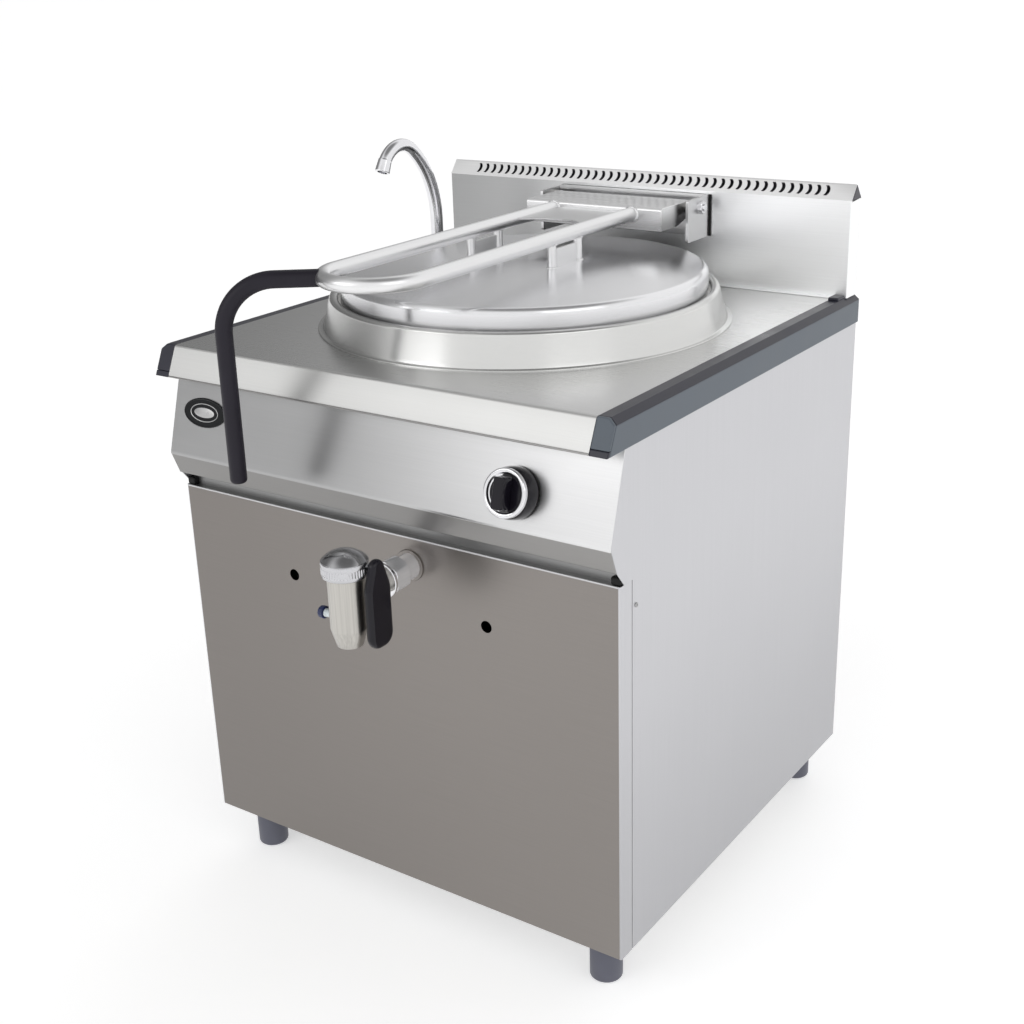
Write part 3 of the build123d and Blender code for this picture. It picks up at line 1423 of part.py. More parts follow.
with BuildPart() as burner_gas_pipe:
    with BuildLine() as burner_route:
        FilletPolyline(
            (knob_x - valve_half_width + pipe_socket, port_y, port_z),
            (burner_pipe_x, port_y, port_z),
            (burner_pipe_x, port_y, burner_z),
            (0, port_y, burner_z),
            (0, venturi_mouth_y + burner_pipe_r, burner_z),
            radius=pipe_bend_r,
        )
    with BuildSketch(start_plane(burner_route)):
        Circle(burner_pipe_r)
        Circle(burner_bore_r, mode=Mode.SUBTRACT)
    sweep()
pieces["burner_gas_pipe"] = burner_gas_pipe

# ------------------------------------------------------------------ badge, feet and screws
with BuildPart() as badge_plate:
    with BuildSketch(control_plane(badge_x, badge_drop)):
        Ellipse(badge_half_length, badge_half_height)
    extrude(amount=badge_thickness)
    with BuildSketch(control_plane(badge_x, badge_drop).offset(badge_thickness)):
        Ellipse(badge_half_length - badge_rim, badge_half_height - badge_rim)
    extrude(amount=-badge_thickness / 3, mode=Mode.SUBTRACT)
pieces["badge_plate"] = badge_plate

# Feet: a rounded pad whose threaded stem screws up into its socket
for foot_name, (x, y) in zip(foot_names, foot_spots):
    with BuildPart() as foot:
        with BuildSketch(Plane.XY):
            with Locations((x, y)):
                Circle(foot_r)
        extrude(amount=floor_z - seat_gap)
        fillet(foot.edges().group_by(Axis.Z)[0], foot_edge_radius)
        with BuildSketch(Plane.XY.offset(floor_z - seat_gap)):
            with Locations((x, y)):
                Circle(foot_stem_r)
        extrude(amount=foot_stem_length)
    pieces[foot_name] = foot

# Screws: one through each side panel, and a row down each side of the back
screw_z = top_z - side_screw_drop
side_screw_y = panel_y + side_screw_setback
back_screw_x = body_half - sheet - side_flange / 2
back_screw_pitch = (edge_z - floor_z) / back_screw_rows
with BuildPart() as screws:
    for side in (-1, 1):
        with BuildSketch(Plane.YZ.offset(side * body_half)):
            with Locations((side_screw_y, screw_z)):
                Circle(screw_head_r)
        extrude(amount=side * screw_head_height)
    with BuildSketch(Plane.XZ.offset(-body_back_y)):
        with Locations((0, (edge_z + floor_z + tray_edge) / 2)):
            with GridLocations(2 * back_screw_x, back_screw_pitch, 2, back_screw_rows):
                Circle(screw_head_r)
    extrude(amount=-screw_head_height)
pieces["screws"] = screws

for name, piece in pieces.items():
    piece.part.label = name
    export_step(piece.part, f"parts/{name}.step")
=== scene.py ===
import json
from math import asin, cos, pi, radians, sin, sqrt, tan

import bmesh
import bpy
from mathutils import Matrix, Vector


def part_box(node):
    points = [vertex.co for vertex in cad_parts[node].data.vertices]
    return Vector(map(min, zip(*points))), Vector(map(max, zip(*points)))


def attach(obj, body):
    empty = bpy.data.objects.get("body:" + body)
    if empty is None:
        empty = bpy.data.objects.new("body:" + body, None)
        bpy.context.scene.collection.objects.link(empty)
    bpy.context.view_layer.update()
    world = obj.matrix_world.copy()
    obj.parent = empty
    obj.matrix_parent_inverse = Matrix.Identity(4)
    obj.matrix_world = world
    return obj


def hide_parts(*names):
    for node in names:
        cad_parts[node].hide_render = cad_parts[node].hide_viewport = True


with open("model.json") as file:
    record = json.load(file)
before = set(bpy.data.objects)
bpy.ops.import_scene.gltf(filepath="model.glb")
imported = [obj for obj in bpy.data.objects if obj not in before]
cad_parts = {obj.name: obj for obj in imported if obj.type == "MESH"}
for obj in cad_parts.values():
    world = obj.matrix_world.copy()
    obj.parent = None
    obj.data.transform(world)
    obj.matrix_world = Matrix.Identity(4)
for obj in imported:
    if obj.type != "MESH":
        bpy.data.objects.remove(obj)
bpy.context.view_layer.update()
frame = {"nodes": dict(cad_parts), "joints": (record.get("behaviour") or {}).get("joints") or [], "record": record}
MM = 0.001
SIDES = ((-1, "left"), (1, "right"))
X, Y, Z = Vector((1, 0, 0)), Vector((0, 1, 0)), Vector((0, 0, 1))


# ---- places, read from the frame, in millimetres
def low(node):
    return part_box(node)[0] / MM


def high(node):
    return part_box(node)[1] / MM


def middle(node):
    return (low(node) + high(node)) / 2


def joint_place(name):
    return Vector(next(j for j in frame["joints"] if j["name"] == name)["pos_m"]) / MM


SHEET = 1.5
PANEL_Y = low("front_panel").y
BODY_X = high("side_panel_right").x
MODULE_X = high("edge_trim_right").x
TOP_X = high("worktop").x
FLOOR_Z = low("side_panel_right").z
FRONT_Z = high("front_panel").z
EDGE_Z = low("worktop").z
TOP_Z = high("worktop").z
TOP_FRONT_Y = low("worktop").y
BACK_Y = high("worktop").y
BODY_BACK_Y = high("side_panel_right").y
FLUE_Y = low("flue_housing").y
PAN_Y = middle("pan_vessel").y
TOP_LEAN = 21.3         # run of the worktop's sloping front edge
FACE_DROP = 171.9       # worktop's top down to the control panel's crease
UNDER_STEP = 10.4       # control panel's lower bend ahead of the front panel
FACE_LOW_Y = low("control_panel").y
FACE_LOW_Z = TOP_Z - FACE_DROP
UNDER_Z = low("control_panel").z
UNDER_Y = PANEL_Y - UNDER_STEP
LEAN = radians(16.7)    # control panel's lean from the vertical
FACE_NORMAL = Vector((0, -cos(LEAN), sin(LEAN)))
FACE_UP = Vector((0, sin(LEAN), cos(LEAN)))
HINGE = joint_place("lid_hinge")
LEVER = joint_place("tap_lever_turn")
KNOB = joint_place("valve_turn")
FAUCET = joint_place("spout_swivel")
LID_R = high("lid_shell").x
LID_LOW_Z = low("lid_shell").z
LID_CROWN = 12.0
LID_EDGE_Z = high("lid_shell").z - LID_CROWN
BAR_Y = low("hinge_bar").y
ARM_R = 11.3
ARM_X = high("lid_frame_tube").x - ARM_R
LOOP_Y = low("lid_frame_tube").y + ARM_R + ARM_X
BONNET_R = 33.0
TAP = Vector((middle("tap_body").x, low("tap_bonnet").y + BONNET_R, middle("tap_flange").z))
UNION_Y = PANEL_Y - 59.0    # rear face of the collar on the tap's body


def face_y(z):
    """Y of the control panel's outer face at height z."""
    return FACE_LOW_Y + (z - FACE_LOW_Z) * tan(LEAN)


# ---- materials
ALONG_X, ALONG_Y, ALONG_Z = (0.01, 1, 1), (1, 0.01, 1), (1, 1, 0.01)


def set_inputs(tree, node, inputs):
    """Links the inputs that are given a socket and sets the others."""
    for key, value in inputs.items():
        if isinstance(value, bpy.types.NodeSocket):
            tree.links.new(value, node.inputs[key])
        else:
            node.inputs[key].default_value = value


def add_node(tree, kind, inputs=None, **settings):
    node = tree.nodes.new(f"ShaderNode{kind}")
    for key, value in settings.items():
        setattr(node, key, value)
    set_inputs(tree, node, inputs or {})
    return node


def new_material(name, metallic, color, rough):
    mat = bpy.data.materials.new(name)
    mat.use_nodes = True
    shader = mat.node_tree.nodes["Principled BSDF"]
    set_inputs(mat.node_tree, shader, {"Metallic": metallic, "Base Color": (*color, 1), "Roughness": rough})
    return mat, mat.node_tree, shader


def place_in_frame(tree):
    return add_node(tree, "TexCoord").outputs["Object"]


def maths(tree, operation, a, b):
    return add_node(tree, "Math", {0: a, 1: b}, operation=operation).outputs[0]


def map_range(tree, source, span, to, curve="LINEAR"):
    inputs = dict(zip(("From Min", "From Max", "To Min", "To Max"), (*span, *to)), Value=source)
    return add_node(tree, "MapRange", inputs, interpolation_type=curve).outputs["Result"]


def spread(tree, source, least, most):
    """Noise, which keeps to the middle of its range, spread from least to most."""
    return map_range(tree, source, (0.25, 0.75), (least, most))


def noise(tree, scale, stretch=(1, 1, 1), detail=4.0, rough=0.6, place=None):
    """Noise in the frame's own coordinates or at a place; a small stretch draws it out along that axis."""
    place = place_in_frame(tree) if place is None else place
    mapping = add_node(tree, "Mapping", {"Vector": place, "Scale": stretch})
    inputs = {"Vector": mapping.outputs["Vector"], "Scale": scale, "Detail": detail, "Roughness": rough}
    return add_node(tree, "TexNoise", inputs).outputs["Fac"]


def turned_noise(tree, scale):
    """Noise in polar coordinates about the pan's axis: fine rings, as turning or spinning leaves them."""
    shift = add_node(tree, "VectorMath", {0: place_in_frame(tree), 1: Y * PAN_Y * MM}, operation="SUBTRACT")
    x, y, z = add_node(tree, "SeparateXYZ", {0: shift.outputs[0]}).outputs
    flat = add_node(tree, "CombineXYZ", {"X": x, "Y": y}).outputs[0]
    radius = add_node(tree, "VectorMath", {0: flat}, operation="LENGTH").outputs["Value"]
    polar = add_node(tree, "CombineXYZ", {"X": radius, "Y": maths(tree, "ARCTAN2", y, x), "Z": z})
    return noise(tree, scale, (1, 0.05, 1), 5.0, 0.5, polar.outputs[0])


def ramp(tree, source, dark, light):
    node = add_node(tree, "ValToRGB", {"Fac": source})
    for element, position, color in zip(node.color_ramp.elements, (0.3, 0.7), (dark, light)):
        element.position, element.color = position, (*color, 1)
    return node.outputs["Color"]


def shades(color, tone):
    """A color darkened and lightened by a tone."""
    return tuple(c * (1 - tone) for c in color), tuple(min(1, c * (1 + tone)) for c in color)


def bumps(tree, source, strength, distance=0.0002):
    return add_node(tree, "Bump", {"Strength": strength, "Distance": distance, "Height": source}).outputs["Normal"]


def painted_shade_along(tree, color, axis, start, end, *tones):
    """Painted shade: the color with a slow change of tone along an axis of the sheet, standing in for the light and
    shade falling across it.
    """
    along = add_node(tree, "SeparateXYZ", {0: place_in_frame(tree)}).outputs[axis]
    tone = map_range(tree, along, (start * MM, end * MM), tones, "SMOOTHSTEP")
    return add_node(tree, "VectorMath", {0: color, "Scale": tone}, operation="SCALE").outputs["Vector"]


def steel(
    name, color, rough, grain=ALONG_X, scale=700.0, tone=0.018, turned=False, anisotropy=0.0, fade=None, metallic=1.0
):
    """Brushed sheet, or metal turned about the pan's axis, with soft handling marks over the grain; where a painted
    shade is given, the base colour also takes its slow painted gradient of light and shade.
    """
    mat, tree, shader = new_material(name, metallic, color, rough)
    streaks = turned_noise(tree, scale) if turned else noise(tree, scale, grain, 3.0, 0.5)
    marks = noise(tree, 5.0, (1, 1, 1), 3.0, 0.5)
    tinted = ramp(tree, streaks, *shades(color, tone))
    fine, broad = spread(tree, streaks, rough - 0.012, rough + 0.012), spread(tree, marks, -0.015, 0.02)
    # Where a painted shade is given, it scales the base colour along one axis as light and shade would fall
    set_inputs(tree, shader, {
        "Base Color": painted_shade_along(tree, tinted, *fade) if fade else tinted,
        "Roughness": maths(tree, "ADD", fine, broad),
        "Normal": bumps(tree, streaks, 0.003, 0.0001),
    })
    if anisotropy:
        tangent = add_node(tree, "Tangent", direction_type="RADIAL", axis="Z").outputs["Tangent"]
        set_inputs(tree, shader, {"Anisotropic": anisotropy, "Anisotropic Rotation": 0.25, "Tangent": tangent})
    return mat


def chrome(name, color, rough):
    """Polished metal with faint wiping marks."""
    mat, tree, shader = new_material(name, 1.0, color, rough)
    marks = noise(tree, 60.0, (1, 1, 1), 3.0)
    tinted = ramp(tree, marks, tuple(c * 0.95 for c in color), color)
    set_inputs(tree, shader, {"Roughness": spread(tree, marks, rough * 0.7, rough * 1.6), "Base Color": tinted})
    return mat


def moulded(name, color, rough, grain=320.0, strength=0.06, tone=0.2, gloss=0.5):
    """Moulded plastic, rubber or paint: fine texture with a little variation in tone and sheen."""
    mat, tree, shader = new_material(name, 0.0, color, rough)
    fine, broad = noise(tree, grain, (1, 1, 1), 3.0), noise(tree, 14.0, (1, 1, 1), 2.0)
    set_inputs(tree, shader, {
        "Base Color": ramp(tree, broad, *shades(color, tone)),
        "Roughness": spread(tree, broad, rough - 0.05, rough + 0.08),
        "Normal": bumps(tree, fine, strength),
        "Specular IOR Level": gloss,
    })
    return mat


def spun(tone, anisotropy, **look):
    """The look of metal turned or spun about the pan's axis."""
    return dict(scale=500.0, tone=tone, turned=True, anisotropy=anisotropy, **look)


# Each painted shade is (axis, start, end, start tone, end tone), in millimetres: a slow gradient of tone painted on the
# metal in place of the light and shade falling across it
STEELS = {
    "front_steel": dict(color=(0.262, 0.243, 0.229), rough=0.34, fade=("X", -400, 250, 0.86, 1.0)),
    "control_steel": dict(color=(0.76, 0.76, 0.765), rough=0.30, fade=("X", -160, 420, 0.53, 1.0)),
    # painted shade: a dark copy of the control panel's steel for its underside and the worktop's hem, which lie in
    # shade
    "under_steel": dict(color=(0.27, 0.265, 0.26), rough=0.34, fade=("X", -50, 400, 1.0, 1.25)),
    # painted highlight: a lighter copy of the front panel's steel for its rolled hem
    "hem_steel": dict(color=(0.60, 0.60, 0.61), rough=0.45),
    "side_steel": dict(
        color=(0.59, 0.59, 0.61), rough=0.40, grain=ALONG_Z, scale=420.0, tone=0.015, fade=("Z", 60, 700, 0.80, 1.0)
    ),
    "top_steel": dict(color=(0.66, 0.66, 0.655), rough=0.28, fade=("X", -420, 100, 0.80, 1.0)),
    "edge_steel": dict(color=(0.64, 0.64, 0.63), rough=0.38, fade=("X", -400, -60, 1.0, 0.86)),
    "flue_steel": dict(color=(0.95, 0.955, 0.96), rough=0.36, fade=("X", -420, 230, 0.38, 1.0)),
    "bracket_steel": dict(color=(0.66, 0.66, 0.665), rough=0.30),
    "bar_steel": dict(color=(0.84, 0.84, 0.845), rough=0.26, fade=("Z", HINGE.z - 22, HINGE.z + 19, 0.34, 1.0)),
    "cap_steel": dict(color=(0.93, 0.93, 0.93), rough=0.30),
    "pan_steel": dict(color=(0.66, 0.65, 0.63), rough=0.24, **spun(0.02, 0.5)),
    "lid_steel": dict(
        color=(0.82, 0.82, 0.835), rough=0.22, **spun(0.008, 0.8, fade=("Z", LID_LOW_Z, LID_EDGE_Z, 0.68, 1.0))
    ),
    "collar_steel": dict(
        color=(0.68, 0.68, 0.67), rough=0.25, **spun(0.012, 0.5, fade=("X", -330, 60, 0.60, 1.0))
    ),
    "tube_steel": dict(color=(0.80, 0.80, 0.805), rough=0.30, grain=ALONG_Y, tone=0.012),
    "inner_steel": dict(color=(0.34, 0.34, 0.34), rough=0.45, grain=ALONG_Z, scale=120.0, tone=0.10),
    "spout_steel": dict(color=(0.50, 0.485, 0.455), rough=0.30, grain=ALONG_Z, scale=420.0, tone=0.12),
    "nut_steel": dict(color=(0.86, 0.86, 0.88), rough=0.20, grain=ALONG_Y, metallic=0.6),
    # painted shade: a darkened steel for the front panel's turned-in top and the cross rail, in the recess's shade
    "recess_steel": dict(color=(0.30, 0.30, 0.30), rough=0.42),
    "screw_steel": dict(color=(0.42, 0.42, 0.42), rough=0.30, grain=ALONG_Z),
}
CHROMES = {
    "chrome": dict(color=(0.80, 0.80, 0.82), rough=0.08),
    # painted shade: a darker copy of chrome for the bonnet's dome, standing for the dark ceiling it reflects
    "bonnet_chrome": dict(color=(0.42, 0.42, 0.43), rough=0.15),
    "band_chrome": dict(color=(0.58, 0.58, 0.60), rough=0.20),
    "brass": dict(color=(0.72, 0.52, 0.22), rough=0.28),
    "badge_silver": dict(color=(0.50, 0.50, 0.50), rough=0.30),
}
MOULDED = {
    "slate_paint": dict(color=(0.100, 0.118, 0.140), rough=0.42, tone=0.06, gloss=0.35),
    # dark slate; also painted shade on the trims' tops, the left trim, the cap feet and under the flue's cap
    "slate_dark": dict(color=(0.024, 0.024, 0.036), rough=0.32, tone=0.12, gloss=0.35),
    "foot_slate": dict(color=(0.095, 0.098, 0.128), rough=0.42, strength=0.08, tone=0.08),
    "knob_plastic": dict(color=(0.006, 0.005, 0.009), rough=0.16, grain=220.0, strength=0.03, gloss=0.30),
    "grip_plastic": dict(
        color=(0.013, 0.011, 0.018), rough=0.46, grain=420.0, strength=0.10, tone=0.15, gloss=0.25
    ),
    "gasket_rubber": dict(color=(0.012, 0.012, 0.012), rough=0.60, grain=300.0, strength=0.2, gloss=0.2),
    "badge_enamel": dict(color=(0.005, 0.006, 0.007), rough=0.14, grain=90.0, strength=0.03, gloss=0.25),
    "cock_plastic": dict(color=(0.66, 0.72, 0.74), rough=0.35, grain=200.0, strength=0.05, tone=0.05),
    "cap_plastic": dict(color=(0.010, 0.020, 0.085), rough=0.28, grain=200.0, strength=0.05),
    "wool": dict(color=(0.60, 0.52, 0.33), rough=0.90, grain=160.0, strength=0.9),
    "burner_iron": dict(color=(0.035, 0.034, 0.033), rough=0.65, grain=180.0, strength=0.5, tone=0.3),
}
M = {
    name: make(name, **look)
    for make, looks in ((steel, STEELS), (chrome, CHROMES), (moulded, MOULDED)) for name, look in looks.items()
}
# The finishes that share each of the record's slots
SHOWN_AS = {
    "cross_rail": "recess_steel", "tap_body": "spout_steel", "lid_posts": "tube_steel", "drain_pipe": "tube_steel",
}
for part in frame["record"]["subparts"]:
    cad = frame["nodes"][part["node"]]
    cad.data.materials.clear()
    cad.data.materials.append(M[SHOWN_AS.get(part["node"], part["material_slot"])])
    cad.data.shade_smooth()
    cad.data.set_sharp_from_angle(angle=radians(30))


# ---- mesh tools
def add_object(name, data):
    made = bpy.data.objects.new(name, data)
    bpy.context.scene.collection.objects.link(made)
    return made


def mesh_object(name, bm):
    """An object in metres from a bmesh in millimetres."""
    bmesh.ops.recalc_face_normals(bm, faces=bm.faces)
    mesh = bpy.data.meshes.new(name)
    bm.to_mesh(mesh)
    bm.free()
    mesh.transform(Matrix.Scale(MM, 4))
    return add_object(name, mesh)


def finish_mesh(name, bm, material, body, stands_for=(), sharp=32.0):
    """Turns a bmesh into a piece that rides a body."""
    bmesh.ops.remove_doubles(bm, verts=bm.verts, dist=1e-4)
    piece = mesh_object(name, bm)
    piece.data.materials.append(M[material])
    piece.data.shade_smooth()
    piece.data.set_sharp_from_angle(angle=radians(sharp))
    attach(piece, body)
    if stands_for:
        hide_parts(*stands_for)
    return piece


def piece_from(name, material, body, stands_for, *builders, sharp=32.0):
    bm = bmesh.new()
    for build in builders:
        build(bm)
    return finish_mesh(name, bm, material, body, stands_for, sharp)


def cutter(*builders):
    """A throwaway cutting piece."""
    bm = bmesh.new()
    for build in builders:
        build(bm)
    return mesh_object("cutter", bm)


def apply_modifiers(piece):
    bpy.context.view_layer.update()
    graph = bpy.context.evaluated_depsgraph_get()
    mesh = bpy.data.meshes.new_from_object(piece.evaluated_get(graph))
    piece.modifiers.clear()
    piece.data = mesh


def cut(piece, *tools):
    for tool in tools:
        mod = piece.modifiers.new("cut", "BOOLEAN")
        mod.operation, mod.solver, mod.object = "DIFFERENCE", "EXACT", tool
        apply_modifiers(piece)
        bpy.data.objects.remove(tool)


def soften(piece, width, segments=3, angle=35.0):
    """Rounds the piece's sharp edges, in millimetres, and keeps its flat faces flat to the light."""
    bevel = piece.modifiers.new("edge", "BEVEL")
    bevel.width, bevel.segments = width * MM, segments
    bevel.limit_method, bevel.angle_limit = "ANGLE", radians(angle)
    bevel.use_clamp_overlap = True
    apply_modifiers(piece)
    piece.data.shade_smooth()
    normals = piece.modifiers.new("normals", "WEIGHTED_NORMAL")
    normals.weight, normals.keep_sharp = 100, True
    apply_modifiers(piece)


def turns(steps):
    return [2 * pi * k / steps for k in range(steps)]


def square_to(axis, facing=None):
    """The axis and two directions square to it, the first of them facing a given way."""
    axis = Vector(axis).normalized()
    side = Vector(facing) if facing else axis.orthogonal().normalized()
    return axis, side, axis.cross(side)


def join_loops(bm, loops):
    """Faces between each loop of vertices and the next; a loop may be a single point."""
    for a, b in zip(loops, loops[1:]):
        steps = max(len(a), len(b))
        for k in range(steps if steps > 1 else 0):
            n = (k + 1) % steps
            if len(a) == 1:
                bm.faces.new((a[0], b[k], b[n]))
            elif len(b) == 1:
                bm.faces.new((a[k], a[n], b[0]))
            else:
                bm.faces.new((a[k], a[n], b[n], b[k]))


def join_and_cap(bm, loops):
    join_loops(bm, loops)
    bm.faces.new(list(reversed(loops[0])))
    bm.faces.new(loops[-1])


def join_ends(bm, first, last):
    """A solid between two outlines with as many corners."""
    bm.faces.new(first)
    bm.faces.new(reversed(last))
    for i in range(len(first)):
        j = (i + 1) % len(first)
        bm.faces.new((first[j], first[i], last[i], last[j]))


# Each builder below returns a function that adds one form to a bmesh, in millimetres
def prism(outline, origin, u, v, depth):
    """Extrudes a 2-D outline, in (u, v) about origin, by the vector depth."""
    origin, u, v, depth = map(Vector, (origin, u, v, depth))

    def build(bm):
        first = [bm.verts.new(origin + u * p[0] + v * p[1]) for p in outline]
        join_ends(bm, first, [bm.verts.new(p.co + depth) for p in first])

    return build


def across(outline, x0, x1):
    """An outline in (y, z), extruded from x0 to x1."""
    return prism(outline, (x0, 0, 0), Y, Z, (x1 - x0, 0, 0))


def box(corner, far):
    (x0, y0, z0), (x1, y1, z1) = corner, far
    return across([(y0, z0), (y1, z0), (y1, z1), (y0, z1)], x0, x1)


def lathe(profile, centre, axis=Z, steps=96, wave=None):
    """Turns a profile of (radius, height) about an axis; wave(turn, height) adds to the radius."""
    axis, side, other = square_to(axis)
    centre = Vector(centre)

    def build(bm):
        rings = []
        for r, h in profile:
            if r < 1e-6:
                rings.append([bm.verts.new(centre + axis * h)])
                continue
            rings.append([
                bm.verts.new(centre + axis * h + (side * cos(t) + other * sin(t)) * (r + (wave(t, h) if wave else 0)))
                for t in turns(steps)
            ])
        join_loops(bm, rings)

    return build


def cylinder(centre, axis, radius, length, steps=64):
    return lathe([(0, 0), (radius, 0), (radius, length), (0, length)], centre, axis, steps)


def tube(path, radius, sides=40):
    """A round bar along a path; radius is a number or one number for each point."""
    path = [Vector(p) for p in path]
    radii = radius if isinstance(radius, (list, tuple)) else [radius] * len(path)

    def build(bm):
        heading = (path[1] - path[0]).normalized()
        side = heading.orthogonal().normalized()
        rings = []
        for i, point in enumerate(path):
            before = (path[i] - path[i - 1]).normalized() if i else heading
            after = (path[i + 1] - path[i]).normalized() if i + 1 < len(path) else before
            tangent = (before + after).normalized()
            side = (side - tangent * side.dot(tangent)).normalized()
            other = tangent.cross(side)
            rings.append([bm.verts.new(point + (side * cos(t) + other * sin(t)) * radii[i]) for t in turns(sides)])
        join_and_cap(bm, rings)

    return build


def hex_nut(centre, axis, flats, height, hole, crown=1.6, facing=None):
    """A hexagonal nut whose corners are turned down at both faces; facing is the way one flat looks."""
    axis, side, other = square_to(axis, facing)
    centre, half, steps = Vector(centre), flats / 2, 72
    shoulder = crown * 0.6
    faces = [(half, 0), (half + crown, shoulder), (half + crown, height - shoulder), (half, height)]

    def hexagon(turn):
        return half / cos((turn + pi / 6) % (pi / 3) - pi / 6)

    def build(bm):
        def ring(h, reach):
            return [bm.verts.new(centre + axis * h + (side * cos(t) + other * sin(t)) * reach(t)) for t in turns(steps)]

        outer = [ring(h, lambda t: min(hexagon(t), limit)) for limit, h in faces]
        inner = [ring(h, lambda t: hole) for h in (height, 0)]
        join_loops(bm, outer + inner + outer[:1])

    return build


def rounded(points, radius, steps=8, closed=True):
    """The polyline with its corners rounded; radius is a number or one number for each point."""
    points = [Vector(p) for p in points]
    radii = radius if isinstance(radius, (list, tuple)) else [radius] * len(points)
    made = []
    for i, corner in enumerate(points):
        r = radii[i]
        if r <= 0 or (not closed and i in (0, len(points) - 1)):
            made.append(corner)
            continue
        a = (points[i - 1] - corner).normalized()
        b = (points[(i + 1) % len(points)] - corner).normalized()
        half = a.angle(b) / 2
        reach = r / tan(half)
        centre = corner + (a + b).normalized() * (r / sin(half))
        start, end = corner + a * reach - centre, corner + b * reach - centre
        sweep = start.angle(end)
        for k in range(steps + 1):
            t = k / steps
            made.append(centre + (start * sin((1 - t) * sweep) + end * sin(t * sweep)) / sin(sweep))
    return made


def arc(centre, r, start, end, steps=12):
    """Points of a 2-D arc, angles in degrees."""
    angles = [radians(start + (end - start) * k / steps) for k in range(steps + 1)]
    return [(centre[0] + r * cos(t), centre[1] + r * sin(t)) for t in angles]


def crown_arc(dome_r, span, tip, steps=14):
    """A dome's profile from its rim at radius span up to its tip on the axis."""
    rim = asin(span / dome_r)
    return [
        (dome_r * sin(t), tip - dome_r + dome_r * cos(t)) for t in (rim * (1 - k / steps) for k in range(steps + 1))
    ]


def dome_radius(span, rise):
    return (span ** 2 + rise ** 2) / (2 * rise)


def strip(line, thickness):
    """Closes an open 2-D polyline into a strip of that thickness, on its left-hand side."""
    line = [Vector(p) for p in line]
    inner = []
    for i, p in enumerate(line):
        before = (p - line[i - 1]).normalized() if i else (line[1] - p).normalized()
        after = (line[i + 1] - p).normalized() if i + 1 < len(line) else before
        normal = Vector((-(before + after).y, (before + after).x)).normalized()
        stretch = 1 / max(0.5, normal.dot(Vector((-before.y, before.x))))
        inner.append(p + normal * thickness * stretch)
    return line + list(reversed(inner))


def weld(centre, axis, radius, bead=2.0):
    """A rippled weld bead round a bar where it meets a surface."""
    ripple, ripples = 0.25, 18
    profile = [(radius + bead * cos(radians(a)), bead * sin(radians(a))) for a in range(-90, 91, 30)]
    return lathe(profile, centre, axis, 72, lambda turn, h: ripple * sin(turn * ripples))


# ---- cabinet
def make_front_panel():
    """The front sheet with its holes, its top turned in and painted dark as shade, its hem painted lighter as a
    highlight, and its folded sides.
    """
    back, bend, hem_r = PANEL_Y + 30.0, 3.0, 1.6
    tap_hole_r, sight_r, sight_x, sight_z = 19.85, 9.2, 180.0, 559.0
    x = BODY_X - bend
    face = piece_from(
        "front_panel_skin", "front_steel", "cabinet", ["front_panel"],
        box((-x, PANEL_Y, FLOOR_Z), (x, PANEL_Y + SHEET, FRONT_Z)),
    )
    # painted shade: the turned-in top takes the darkened recess steel
    piece_from(
        "front_panel_top", "recess_steel", "cabinet", [],
        box((-x, PANEL_Y + SHEET, FRONT_Z - SHEET), (x, back, FRONT_Z)),
    )
    holes = [(TAP.x, TAP.z, tap_hole_r)] + [(side * sight_x, sight_z, sight_r) for side, _ in SIDES]
    cut(face, *[cutter(cylinder((hole_x, PANEL_Y - 5, z), Y, r, 20)) for hole_x, z, r in holes])
    # painted highlight: the hem is steel lighter than the front sheet
    hem = [(hem_x, PANEL_Y + 0.6, FRONT_Z - 1.1) for hem_x in (-x, x)]
    piece_from("front_panel_hem", "hem_steel", "cabinet", [], tube(hem, hem_r, 16))
    for side, label in SIDES:
        corner = [(side * (x + px), PANEL_Y + bend + py) for px, py in arc((0, 0), bend, -90, 0, 8)]
        line = [(side * x, PANEL_Y)] + corner + [(side * BODY_X, back)]
        piece_from(
            f"front_return_{label}", "side_steel", "cabinet", [],
            prism(strip(line[::side], SHEET), (0, 0, FLOOR_Z), X, Y, (0, 0, FRONT_Z - FLOOR_Z)),
        )


def make_side_panel(side, label):
    """A side sheet, cut to the control panel's outline in front, with a flange turned in at the back."""
    tuck, notch, joint, lap, flange, flange_rise = 2.3, 10.4, 32.0, 0.6, 18.0, 27.0
    lap_z = FRONT_Z - lap
    outline = [
        (BODY_BACK_Y, FLOOR_Z), (BODY_BACK_Y, EDGE_Z), (face_y(EDGE_Z) + tuck, EDGE_Z),
        (FACE_LOW_Y + tuck, FACE_LOW_Z), (UNDER_Y + tuck, UNDER_Z), (PANEL_Y + notch, lap_z),
        (PANEL_Y + joint, lap_z), (PANEL_Y + joint, FLOOR_Z),
    ]
    inner = side * (BODY_X - SHEET)
    x0, x1 = sorted((inner, inner - side * flange))
    panel = piece_from(
        f"side_skin_{label}", "side_steel", "cabinet", [f"side_panel_{label}"],
        across(outline, inner, side * BODY_X),
        box((x0, BODY_BACK_Y - SHEET, FLOOR_Z + flange_rise), (x1, BODY_BACK_Y, EDGE_Z)),
    )
    soften(panel, 0.5, 2)


